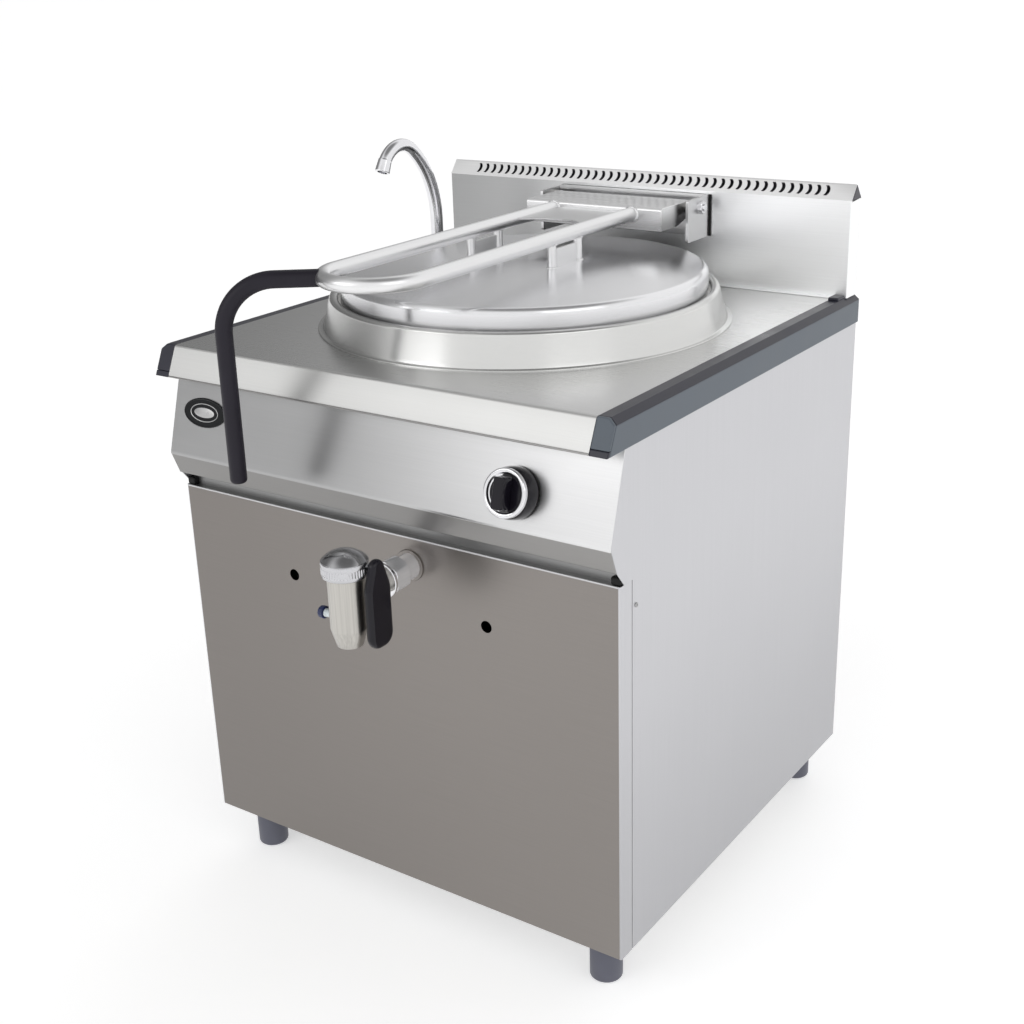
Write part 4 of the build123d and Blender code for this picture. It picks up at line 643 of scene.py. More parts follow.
def make_control_panel():
    """The leaning face down to its softened crease, its underside in steel painted dark as shade, and the stops in the
    recess below.
    """
    crease = (FACE_LOW_Y + 1.2, FACE_LOW_Z - 3.0)
    face = [(face_y(EDGE_Z), EDGE_Z), (face_y(FACE_LOW_Z + 3.5), FACE_LOW_Z + 3.5)]
    face += [(face_y(FACE_LOW_Z + 1.5) + 0.1, FACE_LOW_Z + 1.2), (FACE_LOW_Y + 0.35, FACE_LOW_Z - 1.2), crease]
    panel = piece_from(
        "control_panel_skin", "control_steel", "cabinet", ["control_panel"],
        across(strip(face, SHEET), -BODY_X, BODY_X),
    )
    spindle_hole_r = 7
    cut(panel, cutter(cylinder(KNOB + FACE_NORMAL * 5, -FACE_NORMAL, spindle_hole_r, 12, 32)))
    bend, inset = 3, 0.3
    under = rounded([crease, (UNDER_Y, UNDER_Z), (PANEL_Y + 12, UNDER_Z)], [0, bend, 0], 6, closed=False)
    piece_from(
        "control_panel_underside", "under_steel", "cabinet", [],
        across(strip(under, SHEET), -BODY_X + inset, BODY_X - inset),
    )
    stop_width = 16
    for side, label in SIDES:
        x0, x1 = sorted((side * (BODY_X - stop_width), side * (BODY_X - SHEET)))
        stop = piece_from(
            f"recess_stop_{label}", "gasket_rubber", "cabinet", [],
            box((x0, PANEL_Y + 1.5, FRONT_Z + 0.2), (x1, PANEL_Y + 11.5, FRONT_Z + 12.0)),
        )
        soften(stop, 3.0, 4)


def make_worktop():
    """The flat with the pan's opening, the rolled and sloping front edge, a dark hem under it as a painted shadow line,
    and the flue's foot strip.
    """
    sheet, nose_r, lip_r, hem_r, opening_r = 2.0, 6.0, 3.0, 1.5, 312
    nose = rounded(
        [(BACK_Y, TOP_Z), (TOP_FRONT_Y + TOP_LEAN, TOP_Z), (TOP_FRONT_Y, EDGE_Z)], [0, nose_r, 0], 10, closed=False
    )
    split = 6
    flat = [(BACK_Y, EDGE_Z), (BACK_Y, TOP_Z)] + nose[1:split + 1]
    lip = [nose[-2], (TOP_FRONT_Y, EDGE_Z), (face_y(EDGE_Z) + 2, EDGE_Z)]
    edge = nose[split:-1] + rounded(lip, [0, lip_r, 0], 8, closed=False)[1:]
    top = piece_from("worktop_skin", "top_steel", "cabinet", ["worktop"], across(strip(flat, sheet), -TOP_X, TOP_X))
    cut(top, cutter(cylinder((0, PAN_Y, TOP_Z - 20), Z, opening_r, 40, 160)))
    piece_from("worktop_edge", "edge_steel", "cabinet", [], across(strip(edge, sheet), -TOP_X, TOP_X))
    # painted shadow: a dark rounded hem along the lip's lower edge
    ends = [(x, TOP_FRONT_Y + 2.0, EDGE_Z + hem_r) for x in (-TOP_X, TOP_X)]
    piece_from("worktop_shadow_hem", "under_steel", "cabinet", [], tube(ends, hem_r, 16))
    foot = piece_from(
        "flue_foot_strip", "flue_steel", "cabinet", [],
        box((-TOP_X, FLUE_Y - 12, TOP_Z), (TOP_X, FLUE_Y, TOP_Z + 1.6)),
    )
    soften(foot, 0.6, 2)


def make_trim(side, label):
    """An edge profile with a chamfered top painted dark as shade, a moulded front cap whose foot is painted dark as
    shadow, and its rear stop; the left trim is painted darker than the right, as shade.
    """
    inner, outer, bevel_x = side * TOP_X, side * MODULE_X, side * (MODULE_X - 10)
    skin, cap_depth, gap, foot_gap = 0.8, 5.0, 0.4, 0.5
    bevel_z, foot_z = TOP_Z - 8, EDGE_Z + 8.5
    # painted shade: the left trim takes the darker slate, as it faces away from the light
    body = "slate_paint" if side > 0 else "slate_dark"

    def front_y(z):
        return TOP_FRONT_Y + (z - EDGE_Z) * TOP_LEAN / (TOP_Z - EDGE_Z)

    def leaning(section, start, end):
        """The (x, z) section between two faces, each given as its y at height z."""
        def build(bm):
            join_ends(bm, *[[bm.verts.new((x, y(z), z)) for x, z in section] for y in (start, end)])
        return build

    def moulding(name, material, section, edge_r, segments, at_front, stands_for=()):
        start = front_y if at_front else lambda z: front_y(z) + cap_depth + gap
        end = (lambda z: front_y(z) + cap_depth) if at_front else lambda z: BACK_Y
        piece = piece_from(f"{name}_{label}", material, "cabinet", stands_for, leaning(section, start, end))
        soften(piece, edge_r, segments, 15.0)

    skin_z, step_z = TOP_Z - skin, bevel_z - skin
    profile = [(inner, EDGE_Z), (outer, EDGE_Z), (outer, step_z), (bevel_x, skin_z), (inner, skin_z)]
    top = [
        (inner, skin_z), (inner, TOP_Z), (bevel_x, TOP_Z), (outer, bevel_z), (outer, step_z), (bevel_x, skin_z)
    ]
    face = [(inner, foot_z), (outer, foot_z), (outer, bevel_z), (bevel_x, TOP_Z), (inner, TOP_Z)]
    foot = [(inner, EDGE_Z), (outer, EDGE_Z), (outer, foot_z - foot_gap), (inner, foot_z - foot_gap)]
    moulding("edge_trim_skin", body, profile, 1.2, 3, False, [f"edge_trim_{label}"])
    # painted shade: the chamfered top and the cap's foot take the dark slate
    moulding("trim_shaded_top", "slate_dark", top, 0.3, 2, False)
    moulding("trim_cap", body, face, 1.6, 4, True)
    moulding("trim_cap_shadow_foot", "slate_dark", foot, 1.2, 3, True)
    x0, x1 = sorted((inner, bevel_x))
    stop = piece_from(
        f"trim_stop_{label}", "slate_dark", "cabinet", [],
        box((x0, FLUE_Y - 26, TOP_Z - 1), (x1, FLUE_Y, TOP_Z + 5)),
    )
    soften(stop, 2.0, 3)


# ---- pan and lid
def make_collar():
    """A cone with a rolled rim close round the lid, and a rounded foot that lies on the worktop."""
    base, top, inner, rim, wall = 317.0, 304.6, 291.0, TOP_Z + 50.6, 2.0
    foot_r, foot_width, roll_r, roll_height = 2.4, 7.5, (top - inner) / 2, 4.4
    profile = [(base + foot_width, TOP_Z)] + arc((base + 6.5, TOP_Z + 1.2), 1.2, 0, 90, 4)
    profile += arc((base + 1.6, TOP_Z + 1.6 + foot_r), foot_r, 250, 195, 5)
    profile += [(base - 2.0, TOP_Z + 8), (top + 0.6, rim - 6)]
    profile += [
        (inner + roll_r + (roll_r + 0.3) * cos(radians(t)), rim - roll_height + roll_height * sin(radians(t)))
        for t in range(0, 181, 12)
    ]
    profile += [(inner, TOP_Z + 41), (inner + wall, TOP_Z + 41), (inner + wall, rim - 7), (top - wall, rim - 7)]
    profile += [(base - 4, TOP_Z), (base + foot_width, TOP_Z)]
    collar = lathe(profile, (0, PAN_Y, 0), steps=224)
    piece_from("collar_skin", "collar_steel", "cabinet", ["pan_collar"], collar, sharp=40)


def make_lid():
    """A spun shell: a shallow crown inside a rounded edge and a short skirt, open below."""
    edge, wall = 10.0, 2.0
    flat = LID_R - edge
    span, lift = flat - 1.5, 0.08
    edge_centre = (flat, LID_EDGE_Z - edge)
    outer = [(LID_R - 0.6, LID_LOW_Z), (LID_R, LID_LOW_Z + 0.6)] + arc(edge_centre, edge, 0, 84, 10)
    outer += crown_arc(dome_radius(span, LID_CROWN - lift), span, LID_EDGE_Z + LID_CROWN)
    inner = list(reversed(crown_arc(dome_radius(span, LID_CROWN), span, LID_EDGE_Z - wall + LID_CROWN)))
    inner += arc(edge_centre, edge - wall, 84, 0, 8) + [(LID_R - wall, LID_LOW_Z), (LID_R - 0.6, LID_LOW_Z)]
    piece_from("lid_skin", "lid_steel", "lid", ["lid_shell"], lathe(outer + inner, (0, PAN_Y, 0), steps=224), sharp=40)


def lid_height(x, y):
    """Z of the lid's crown at a place."""
    dome_r = dome_radius(LID_R - 8, LID_CROWN)
    return LID_EDGE_Z + LID_CROWN - dome_r + sqrt(dome_r ** 2 - x ** 2 - (y - PAN_Y) ** 2)


def make_lid_frame():
    """The bent tube loop on its four posts, with the plates between posts, the web plate and the welds."""
    run = [LOOP_Y + 60 * k for k in range(1, 9)]
    loop = [(ARM_X, BAR_Y + 1, HINGE.z)] + [(ARM_X, y, HINGE.z) for y in reversed(run)]
    loop += [(x, LOOP_Y + y, HINGE.z) for x, y in arc((0, 0), ARM_X, 0, -180, 48)]
    loop += [(-ARM_X, y, HINGE.z) for y in run] + [(-ARM_X, BAR_Y + 1, HINGE.z)]
    piece_from("lid_frame_skin", "tube_steel", "lid", ["lid_frame_tube"], tube(loop, ARM_R, 48))

    post_r, plate_half = 7.0, 2
    rows = (low("lid_posts").y + post_r, high("lid_posts").y - post_r)
    spots = [Vector((x, y, lid_height(x, y))) for x in (-ARM_X, ARM_X) for y in rows]
    piece_from(
        "post_skins", "tube_steel", "lid", ["lid_posts"],
        *[cylinder(spot - Z, Z, post_r, HINGE.z - spot.z - 3, 48) for spot in spots],
        *[weld(spot, Z, post_r, 1.8) for spot in spots],
        *[weld((spot.x, spot.y, HINGE.z - 8.5), Z, 6.2, 2.2) for spot in spots],
    )
    plate_foot, plate_top = lid_height(ARM_X, rows[0]) - 1, high("post_plates").z
    plates = piece_from(
        "post_plate_skins", "tube_steel", "lid", ["post_plates"],
        *[box((x - plate_half, rows[0], plate_foot), (x + plate_half, rows[1], plate_top)) for x in (-ARM_X, ARM_X)],
    )
    soften(plates, 0.8, 2)
    depth, notch, web_thickness = BAR_Y - low("frame_plate").y, 26.0, 3
    outline = [
        (-ARM_X, 0), (ARM_X, 0), (ARM_X, -depth), (notch, notch - depth), (-notch, notch - depth), (-ARM_X, -depth)
    ]
    web = piece_from(
        "frame_plate_skin", "bracket_steel", "lid", ["frame_plate"],
        prism(outline, (0, BAR_Y, HINGE.z), X, Y, (0, 0, web_thickness)),
    )
    soften(web, 0.7, 2)
    piece_from(
        "arm_welds", "tube_steel", "lid", [],
        *[weld((x, BAR_Y - 0.5, HINGE.z), -Y, ARM_R, 2.2) for x in (-ARM_X, ARM_X)],
    )


def make_hinge_bar():
    """The folded bar behind the arms, closed by a cheek at each end whose eye turns on the pin."""
    y0, y1, z0, z1 = BAR_Y, HINGE.y - 7, low("hinge_bar").z, high("hinge_bar").z
    x, sheet, fold_r, eye_r, bore_r, cheek_run, inset = high("hinge_bar").x, 3.0, 5, 11.0, 6.05, 52, 0.3
    line = rounded([(y0, z0), (y0, z1), (y1, z1)], [0, fold_r, 0], 8, closed=False)[::-1]
    bent = piece_from(
        "hinge_bar_skin", "bar_steel", "lid", ["hinge_bar"], across(strip(line, sheet), -x + 0.2, x - 0.2)
    )
    soften(bent, 0.5, 2)
    fold = arc((y0 + fold_r, z1 - fold_r), fold_r - inset, 90, 180, 6)
    eye = arc((HINGE.y, HINGE.z), eye_r, -78, 88, 24)
    cheek = [(y0 + inset, z0 + inset), (y0 + cheek_run, z0)] + eye + [(y0 + cheek_run, z1 - inset)] + fold
    for side, label in SIDES:
        plate = piece_from(
            f"hinge_cheek_{label}", "bar_steel", "lid", [], across(cheek, side * x, side * (x - sheet))
        )
        cut(plate, cutter(cylinder((side * (x - 10), HINGE.y, HINGE.z), X * side, bore_r, 20, 48)))
        soften(plate, 0.6, 2)


def make_hinge_bracket():
    """Two plates on a folded back, with the pin through them and a nut at each end."""
    (_, y0, z0), (x, y1, z1), thick, pin_r = low("hinge_bracket"), high("hinge_bracket"), 5.0, 6.0
    outline = rounded([(y0, z0), (y1, z0), (y1, z1), (y0, z1)], [4, 0.5, 0.5, 4], 5)
    for side, label in SIDES:
        plate = piece_from(
            f"bracket_plate_{label}", "bracket_steel", "cabinet", ["hinge_bracket"] if side < 0 else [],
            across(outline, side * (x - thick), side * x),
        )
        cut(plate, cutter(cylinder((side * (x - 10), HINGE.y, HINGE.z), X * side, pin_r, 20, 48)))
        soften(plate, 0.9, 3)
    back = piece_from(
        "bracket_back", "bracket_steel", "cabinet", [],
        box((-x + thick, y1 - thick, z0), (x - thick, y1, z1)),
        box((-x + thick, HINGE.y + 13.5, z1 - thick), (x - thick, y1 - thick, z1)),
    )
    soften(back, 0.7, 2)
    nut_flats, nut_height = 19, 8
    for side, label in SIDES:
        nut = hex_nut((side * x, HINGE.y, HINGE.z), X * side, nut_flats, nut_height, pin_r)
        piece_from(f"hinge_nut_{label}", "chrome", "cabinet", ["hinge_nuts"] if side < 0 else [], nut)
    tip, edge = high("hinge_pin").x, 1.4
    profile = [(0, 0)] + arc((pin_r - edge, edge), edge, -90, 0, 4) + [(pin_r, 2 * tip - edge)]
    profile += arc((pin_r - edge, 2 * tip - edge), edge, 0, 90, 4) + [(0, 2 * tip)]
    pin = lathe(profile, (-tip, HINGE.y, HINGE.z), X, 48)
    piece_from("hinge_pin_skin", "chrome", "cabinet", ["hinge_pin"], pin)


def make_grip():
    """A sleeve from the loop's front left, out and down to a rounded end."""
    sleeve_r, bend_r, tip = 12.3, 75, 6
    turn = radians(225)
    root = Vector((ARM_X * cos(turn), LOOP_Y + ARM_X * sin(turn), HINGE.z))
    corner = Vector((low("grip").x + sleeve_r, low("grip").y + sleeve_r, HINGE.z))
    foot = Vector((corner.x, corner.y, low("grip").z + tip))
    start = root + (corner - root).normalized() * ARM_R * 0.4
    path = rounded([start, corner, foot], [0, bend_r, 0], 28, closed=False)
    radii = [sleeve_r] * len(path)
    for a in map(radians, (20, 40, 60, 80, 90)):
        path.append(foot - Z * tip * sin(a))
        radii.append(sleeve_r - 5 * (1 - cos(a)))
    piece_from("grip_sleeve", "grip_plastic", "lid", ["grip"], tube(path, radii, 48))


# ---- flue and faucet
def make_flue():
    """A box on the worktop's back edge under a ridged cap, whose front slope has a row of crescent louvres, with a dark
    sheet under the cap painted as the shade inside.
    """
    x, y0, y1, z1 = high("flue_housing").x, FLUE_Y, BACK_Y, high("flue_housing").z
    ridge_y, ridge_z, cap_sheet = (y0 + y1) / 2, high("flue_cap").z, 3.0
    outline = rounded([(-x, y0), (x, y0), (x, y1), (-x, y1)], 2.0, 5)
    walls = piece_from(
        "flue_housing_skin", "flue_steel", "cabinet", ["flue_housing"],
        prism(outline, (0, 0, TOP_Z), X, Y, (0, 0, z1 - TOP_Z)),
    )
    cut(walls, cutter(box((-x + SHEET, y0 + SHEET, TOP_Z - 5), (x - SHEET, y1 - SHEET, z1 + 5))))
    outer = rounded([(y0, z1), (ridge_y, ridge_z), (y1, z1)], [0, 2.5, 0], 5, closed=False)[::-1]
    roof = piece_from(
        "flue_cap_skin", "cap_steel", "cabinet", ["flue_cap"], across(strip(outer, cap_sheet), -x, x)
    )
    slope = Vector((0, ridge_y - y0, ridge_z - z1))
    up = slope.normalized()
    out = Vector((0, -up.z, up.y))
    louvres, pitch, centre_x, reach = 45, 15.5, 7.5, 9
    crescent = arc((-7.4, 0), 11.8, -52, 52, 8) + arc((-13.6, 0), 12, 47, -47, 8)
    spots = [Vector((centre_x + pitch * (k - louvres // 2), y0, z1)) + slope / 2 for k in range(louvres)]
    cut(roof, cutter(*[prism(crescent, spot - out * reach, X, up, out * 2 * reach) for spot in spots]))
    # painted shade: a dark sheet just under the cap, seen through the louvres
    shade_sheet = box((-x + 3, y0 + 3, z1 - 3), (x - 3, y1 - 3, z1 - 0.5))
    piece_from("flue_shade_sheet", "slate_dark", "cabinet", [], shade_sheet)
    gable = [(y0 + 2.0, z1 + 0.3), (y1 - 2.0, z1 + 0.3), (ridge_y, ridge_z - 2.6)]
    for side, label in SIDES:
        end = piece_from(
            f"flue_end_{label}", "slate_dark", "cabinet", [], across(gable, side * (x - 2), side * (x + 0.6))
        )
        soften(end, 0.4, 2)


def make_faucet():
    """A turned base, a swan-neck spout that turns in it, and a slightly flared nozzle."""
    base = [(0, 0), (24, 0), (24, 1.6)] + arc((22.4, 2.4), 1.6, 0, 80, 4) + [(15.8, 4.6), (15, 6)]
    base += [(15, 20), (14.2, 21), (14.2, 22), (15, 23), (15, 26.4)] + arc((13.4, 26.4), 1.6, 0, 90, 4) + [(0, 28)]
    piece_from("faucet_body", "chrome", "cabinet", ["faucet_base"], lathe(base, FAUCET, steps=64))
    spout_r, drop = 11.0, 2.2
    path = [Vector((FAUCET.x, FAUCET.y, TOP_Z + z - drop)) for z in (29, 50, 75, 100)]

    def bend(point, heading, radius, sweep, steps):
        """Points of an arc that turns from its heading towards the front and down, angles in degrees."""
        heading = radians(heading)
        centre = point + radius * Vector((0, -cos(heading), -sin(heading)))
        angles = (heading + radians(sweep) * k / steps for k in range(1, steps + 1))
        return [centre + radius * Vector((0, cos(a), sin(a))) for a in angles]

    path += bend(path[-1], 0, 165, 50, 14)
    path += bend(path[-1], 50, 52, 105, 22)
    piece_from("faucet_spout_skin", "chrome", "spout", ["faucet_spout"], tube(path, spout_r, 40))
    heading = (path[-1] - path[-2]).normalized()
    nozzle = [(spout_r, -12), (11.5, -11.2), (11.7, -9), (12.8, 8)] + arc((11.7, 8.6), 1.2, 0, 90, 4)
    nozzle += [(8.5, 9.8), (8.5, 3), (0, 3)]
    piece_from("faucet_nozzle_skin", "chrome", "spout", ["faucet_nozzle"], lathe(nozzle, path[-1], heading, 56))


# ---- controls
def make_knob():
    """A tapered skirt, a chrome ring round its face, and a waisted grip bar across it."""
    back, front, skirt_r, taper = 4.6, 26.6, 36, 2.4
    rise = front - back - 3
    skirt = [(8, back + 14), (31, back + 14), (31, back), (skirt_r, back), (skirt_r, back + 3)]
    skirt += [(skirt_r - taper * (t / 10) ** 2.2, back + 3 + rise * t / 10) for t in range(1, 11)]
    skirt += [(23.9, front), (23.9, front + 2.5), (0, front + 2.0)]
    piece_from("knob_skirt", "knob_plastic", "knob", ["knob_body"], lathe(skirt, KNOB, FACE_NORMAL, 96))
    ring = [(33.5, front), (33.5, front + 3)] + arc((30.9, front + 3.4), 2.6, 0, 90, 8)
    ring += [(28.6, front + 6), (27.6, front + 5.6), (25.6, front + 3.2), (24, front + 2.6), (24, front)]
    ring = lathe(ring + ring[:1], KNOB, FACE_NORMAL, 96)
    piece_from("knob_ring_skin", "chrome", "knob", ["knob_ring"], ring, sharp=25)

    half_w, half_l, depth, layers, squareness, waist = 11.0, 22.8, 22.0, 6, 0.36, 1.8

    def layer(bm, t):
        """A loop of the bar, t of the way from its root to its face."""
        loop = []
        for turn in turns(48):
            c, s = cos(turn), sin(turn)
            width = half_w - 2.2 * t ** 1.5
            px = width * (abs(c) ** squareness) * (1 if c >= 0 else -1)
            py = (half_l - 1.6 * t) * (abs(s) ** squareness) * (1 if s >= 0 else -1)
            px -= waist * (1 - (py / half_l) ** 2) * (1 if px > 0 else -1) * min(1, abs(px) / width)
            height = front + 2 + (depth - 2) * (1 - (1 - t) ** 1.6)
            loop.append(bm.verts.new(KNOB + X * px + FACE_UP * py + FACE_NORMAL * height))
        return loop

    bar = piece_from(
        "knob_grip_bar", "knob_plastic", "knob", [],
        lambda bm: join_and_cap(bm, [layer(bm, k / layers) for k in range(layers + 1)]), sharp=50,
    )
    soften(bar, 1.2, 3, 40)


def make_badge():
    """A plain raised oval within a ring, on a dark oval plate."""
    z = TOP_Z - 104
    spot = Vector((middle("badge_plate").x, face_y(z), z))

    def oval(half_length, half_height, heights):
        """A stack of ovals; heights holds (inset, height) pairs."""
        def build(bm):
            join_and_cap(bm, [
                [
                    bm.verts.new(
                        spot + X * (half_length - inset) * cos(t) + FACE_UP * (half_height - inset) * sin(t)
                        + FACE_NORMAL * h
                    )
                    for t in turns(96)
                ]
                for inset, h in heights
            ])
        return build

    plate = oval(43, 22.5, [(0, 0.05), (0, 1.6), (0.9, 2.5), (2.2, 2.5), (3.0, 1.9)])
    piece_from("badge_body", "badge_enamel", "cabinet", ["badge_plate"], plate)
    ring = oval(29, 14, [(0, 1.5), (0, 2.1), (0.5, 2.3), (1.2, 2.1), (1.5, 1.7)])
    piece_from("badge_ring", "badge_silver", "cabinet", [], ring)
    piece_from("badge_field", "badge_enamel", "cabinet", [], oval(27.5, 12.5, [(0, 1.5), (0, 1.95)]))
    piece_from("badge_boss", "badge_silver", "cabinet", [], oval(21, 7.5, [(0, 1.7), (0, 2.1), (1.4, 2.45)]))


def make_tap_body():
    """The spout with its branch, and the collar, union nut, pipe and flange that carry it."""
    lip, top, bore, wall_r, foot_r = low("tap_body").z, high("tap_body").z - 0.2, 14.0, 26, 17.4
    body = [(0, lip + 14), (bore, lip + 14), (bore, lip + 1)] + arc((bore + 1.2, lip + 1.2), 1.2, 180, 270, 3)
    body += [(foot_r, lip)] + arc((foot_r, lip + 1.6), 1.6, -90, -20, 4) + [(wall_r - 0.4, lip + 25)]
    body += arc((wall_r - 2, lip + 27), 2, -20, 0, 3) + [(wall_r, top), (0, top)]
    piece_from(
        "tap_spout_skin", "spout_steel", "cabinet", ["tap_body"],
        lathe(body, (TAP.x, TAP.y, 0)),
        cylinder(TAP, Y, 20, UNION_Y - TAP.y - 6, 72),
    )
    collar = [(19.8, -6), (25, -6), (26, -5), (26, -1), (25, 0), (19.8, 0), (19.8, -6)]
    collar = lathe(collar, (TAP.x, UNION_Y, TAP.z), Y, 72)
    piece_from("tap_collar", "chrome", "cabinet", [], collar)
    nut_flats, nut_length, bore_r = 47, 30, 16.95
    nut = hex_nut((TAP.x, UNION_Y + 1, TAP.z), Y, nut_flats, nut_length, bore_r, 1.8, (1, 0, 0))
    nut = piece_from("tap_union_skin", "nut_steel", "cabinet", ["tap_union_nut"], nut)
    soften(nut, 1.0, 3, 25)
    pipe = cylinder((TAP.x, UNION_Y + nut_length, TAP.z), Y, 19.5, 27, 64)
    piece_from("tap_pipe", "nut_steel", "cabinet", [], pipe)
    flange = [(bore_r, 0), (bore_r, 3), (22.5, 3)] + arc((22.5, 1.5), 1.5, 90, 0, 4) + [(24, 0), (bore_r, 0)]
    flange = lathe(flange, (TAP.x, PANEL_Y, TAP.z), -Y, 72)
    piece_from("tap_flange_skin", "front_steel", "cabinet", ["tap_flange"], flange)


def make_tap_bonnet():
    """A hollow cap: a knurled band under a dome whose chrome is painted darker as shade."""
    spout, base = Vector((TAP.x, TAP.y, 0)), low("tap_bonnet").z
    brim, peak, bore = base + 22, high("tap_bonnet").z, 29.0
    dome_r = dome_radius(BONNET_R, 15)
    depth, ridges = 0.9, 48

    def knurl(turn, h):
        return -depth * (0.5 + 0.5 * cos(turn * ridges)) if base + 5 < h < base + 14.5 else 0

    band = [(bore, base), (31.5, base), (32.6, base + 1), (32.6, base + 4), (BONNET_R, base + 5)]
    band += [(BONNET_R, base + 5 + k) for k in range(1, 10)]
    band += [(32.4, base + 15), (32.9, base + 16), (32.9, brim - 1), (32.5, brim - 0.2)]
    band = lathe(band + [(bore, brim - 0.2), (bore, base)], spout, steps=384, wave=knurl)
    piece_from("tap_bonnet_band", "band_chrome", "cabinet", [], band, sharp=50)
    dome = crown_arc(dome_r, bore, peak - 3.5)[::-1] + [(bore, brim - 0.3), (32.0, brim - 0.3)]
    dome = lathe(dome + crown_arc(dome_r, 32.2, peak), spout, steps=128)
    piece_from("tap_bonnet_skin", "bonnet_chrome", "cabinet", ["tap_bonnet"], dome, sharp=50)


def make_tap_lever():
    """A rounded blade that hangs from its hub."""
    hub, half, shoulder, length, thick = 13.0, 23.0, 28.0, 116.0, 14
    head = arc((0, 0), hub, 10, 170, 20)
    blade = [head[-1], (-half, -shoulder), (-half, -length), (half, -length), (half, -shoulder), head[0]]
    outline = head[1:-1] + [tuple(p) for p in rounded(blade, [0, 18, 19, 19, 18, 0], 8, closed=False)]
    lever = piece_from(
        "tap_lever_skin", "knob_plastic", "tap_handle", ["tap_lever"],
        prism(outline, (low("tap_lever").x, LEVER.y, LEVER.z), Y, Z, X * thick),
    )
    soften(lever, 6.0, 6, 40)


def make_level_cock():
    """A stem at the spout's left and its fluted cap."""
    end, z = low("level_cock_stem").x + 5, middle("level_cock_stem").z
    stem = [(0, -0.4), (6, 0), (6, 3), (5.2, 4), (5.2, 9), (6, 10), (6, 22), (0, 22)]
    stem = lathe(stem, (end, TAP.y, z), X, 48)
    piece_from("cock_stem_skin", "cock_plastic", "cabinet", ["level_cock_stem"], stem)
    depth, flutes = 0.5, 14

    def flute(turn, h):
        return -depth * (0.5 + 0.5 * cos(turn * flutes)) if 1.5 < h < 8 else 0

    cap = [(0, 0), (8.4, 0), (9, 0.7), (9, 2), (9, 4), (9, 6)] + arc((6.3, 6.3), 2.7, 0, 90, 6) + [(0, 9)]
    cap = lathe(cap, (end - 0.3, TAP.y, z), -X, 84, flute)
    piece_from("cock_cap_skin", "cap_plastic", "cock_cap", ["level_cock_cap"], cap, sharp=50)


# ---- feet and screws
def make_foot(corner):
    """A round foot with a soft lower edge and a groove below its top."""
    node, top, r, edge = f"foot_{corner}", FLOOR_Z - 0.3, 25, 5
    groove = [(r, top - 22), (24.4, top - 21), (24.4, top - 19.6), (r, top - 18.6), (r, top - 1.2)]
    profile = [(0, 0), (19, 0)] + arc((r - edge, edge), edge, -90, 0, 8) + groove
    profile += arc((r - 1.2, top - 1.2), 1.2, 0, 90, 3) + [(0, top)]
    centre = middle(node)
    form = lathe(profile, (centre.x, centre.y, 0), steps=72)
    piece_from(f"{node}_skin", "foot_slate", f"{corner}_foot", [node], form)


def make_screws():
    """Pan heads with crossed recesses: one low in each side's front, four down each side of the back."""
    front_drop, front_set, rear_inset = 272.0, 41.0, 9
    head_r, head_edge, slot_half, slot_half_width = 3.5, 1.0, 2, 0.45
    spots = [(Vector((side * BODY_X, PANEL_Y + front_set, TOP_Z - front_drop)), X * side) for side, _ in SIDES]
    pitch, mid = (EDGE_Z - FLOOR_Z) / 4, (EDGE_Z + FLOOR_Z + 25) / 2
    rear_x = BODY_X - SHEET - rear_inset
    spots += [(Vector((x, BODY_BACK_Y, mid + pitch * (k - 1.5))), Y) for x in (-rear_x, rear_x) for k in range(4)]
    head = [(0, 0), (head_r, 0), (head_r, 0.6)] + arc((head_r - head_edge, 0.6), head_edge, 0, 90, 4) + [(0, 1.75)]
    slot = [(u * slot_half, v * slot_half_width) for u, v in ((-1, -1), (1, -1), (1, 1), (-1, 1))]
    heads = piece_from(
        "screw_heads", "screw_steel", "cabinet", ["screws"], *[lathe(head, spot, axis, 32) for spot, axis in spots]
    )
    crossed = [[], []]
    for spot, axis in spots:
        _, side, other = square_to(axis)
        for slots, (u, v) in zip(crossed, ((side, other), (other, side))):
            slots.append(prism(slot, spot + axis * 0.9, u, v, axis * 2))
    cut(heads, *[cutter(*slots) for slots in crossed])


make_front_panel()
make_control_panel()
make_worktop()
for side, label in SIDES:
    make_side_panel(side, label)
    make_trim(side, label)
make_collar()
make_lid()
make_lid_frame()
make_hinge_bar()
make_hinge_bracket()
make_grip()
make_flue()
make_faucet()
make_knob()
make_badge()
make_tap_body()
make_tap_bonnet()
make_tap_lever()
make_level_cock()
for corner in ("front_left", "front_right", "rear_left", "rear_right"):
    make_foot(corner)
make_screws()


# ---- camera, stage, light
def make_camera():
    """The camera at the photograph's place; its lens is in pixels of a picture 1024 wide."""
    azimuth, elevation, roll = radians(35.09280505), radians(-21.00297403), radians(-1.81770279)
    place, focal_pixels, sensor = Vector((1279.5726, -1790.757, 1441.86)), 1463.8118576772508, 36.0
    forward = Vector((-sin(azimuth) * cos(elevation), cos(azimuth) * cos(elevation), sin(elevation)))
    right = Vector((cos(azimuth), sin(azimuth), 0))
    up = right.cross(forward)
    image_x = right * cos(roll) + up * sin(roll)
    image_y = -right * sin(roll) + up * cos(roll)
    data = bpy.data.cameras.new("photo_camera")
    data.sensor_width, data.lens = sensor, sensor * focal_pixels / 1024
    data.clip_end = 100
    cam = add_object("photo_camera", data)
    rotation = Matrix((image_x, image_y, -forward)).transposed().to_4x4()
    cam.matrix_world = Matrix.Translation(place * MM) @ rotation
    bpy.context.scene.camera = cam


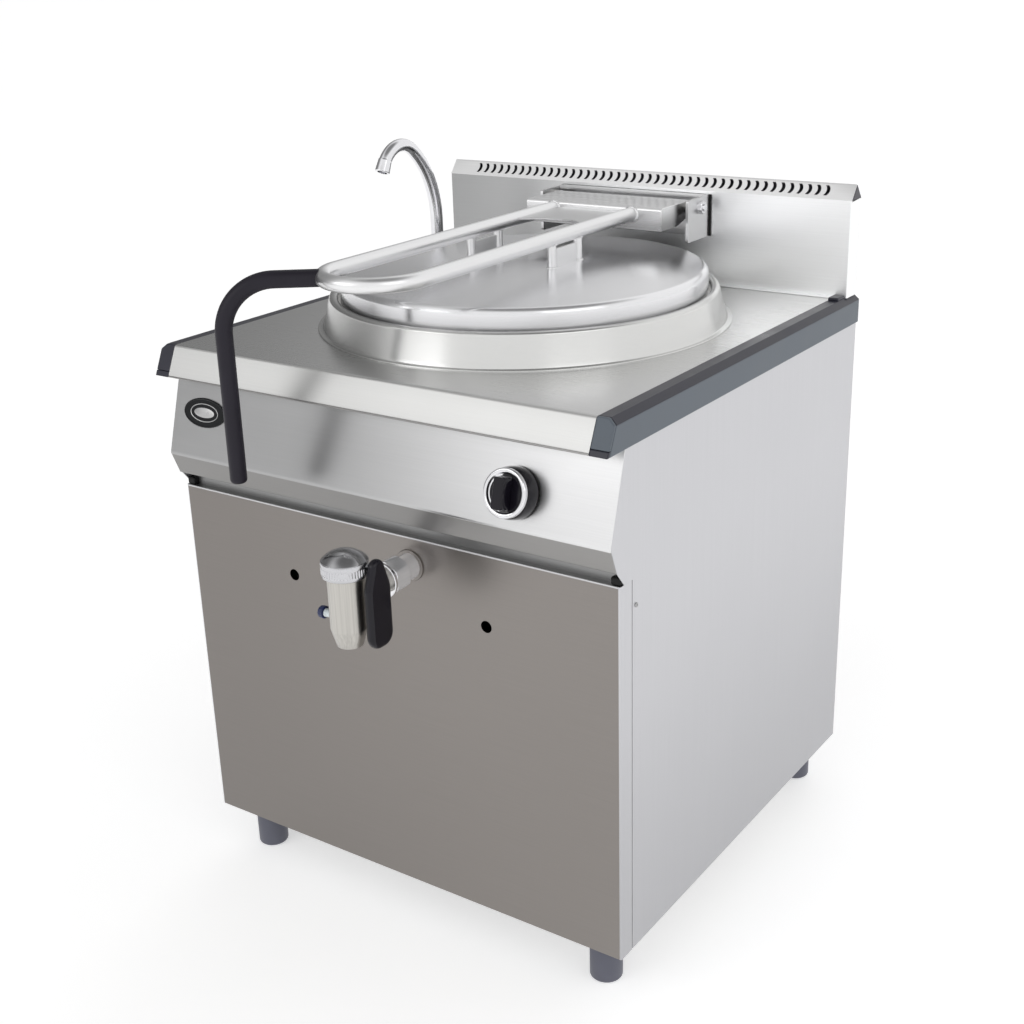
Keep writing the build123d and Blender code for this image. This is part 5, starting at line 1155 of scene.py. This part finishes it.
def area_light(name, place, target, size, power):
    data = bpy.data.lights.new(name, "AREA")
    data.shape, data.size, data.size_y = "RECTANGLE", size[0], size[1]
    data.energy = power
    light = add_object(name, data)
    light.location = place
    light.rotation_euler = (Vector(target) - Vector(place)).to_track_quat("-Z", "Y").to_euler()
    light.visible_camera = False


def make_world():
    """A white studio; its left end and ceiling are shaded in what the steel reflects."""
    world = bpy.data.worlds.new("studio")
    bpy.context.scene.world = world
    world.use_nodes = True
    tree, shade, falls = world.node_tree, 0.25, []
    heading = add_node(tree, "TexCoord").outputs["Generated"]
    for toward, least, most in (((-0.99, 0.15, 0.1), 0.40, 0.88), ((0.1, 0.0, 0.99), 0.74, 0.97)):
        dot = add_node(tree, "VectorMath", {0: heading, 1: Vector(toward).normalized()}, operation="DOT_PRODUCT")
        falls.append(map_range(tree, dot.outputs["Value"], (least, most), (1.0, shade), "SMOOTHSTEP"))
    seen = add_node(tree, "LightPath").outputs["Is Camera Ray"]
    strength = maths(tree, "MAXIMUM", maths(tree, "MULTIPLY", *falls), seen)
    set_inputs(tree, tree.nodes["Background"], {"Color": (1, 1, 1, 1), "Strength": strength})


def make_floor():
    """A pale floor that reaches far beyond the picture."""
    tone, variation, glow, reach = 0.85, 0.01, 0.45, 80
    mat, tree, shader = new_material("floor_paint", 0.0, (tone, tone, tone), 0.6)
    paint = ramp(tree, noise(tree, 3.0), (tone - variation,) * 3, (tone + variation,) * 3)
    set_inputs(tree, shader, {"Base Color": paint, "Emission Color": (1, 1, 1, 1), "Emission Strength": glow})
    mesh = bpy.data.meshes.new("studio_floor")
    corners = [(x * reach, y * reach, 0) for x, y in ((-1, -1), (1, -1), (1, 1), (-1, 1))]
    mesh.from_pydata(corners, [], [(0, 1, 2, 3)])
    mesh.materials.append(mat)
    floor = add_object("studio_floor", mesh)


make_camera()
make_world()
make_floor()
area_light("key", (-1.9, -3.6, 2.5), (0, -0.2, 0.85), (2.6, 1.3), 16)
area_light("side", (2.6, -1.2, 2.6), (0, 0, 0.8), (2.0, 1.4), 6)
bpy.context.scene.view_settings.view_transform = "Standard"
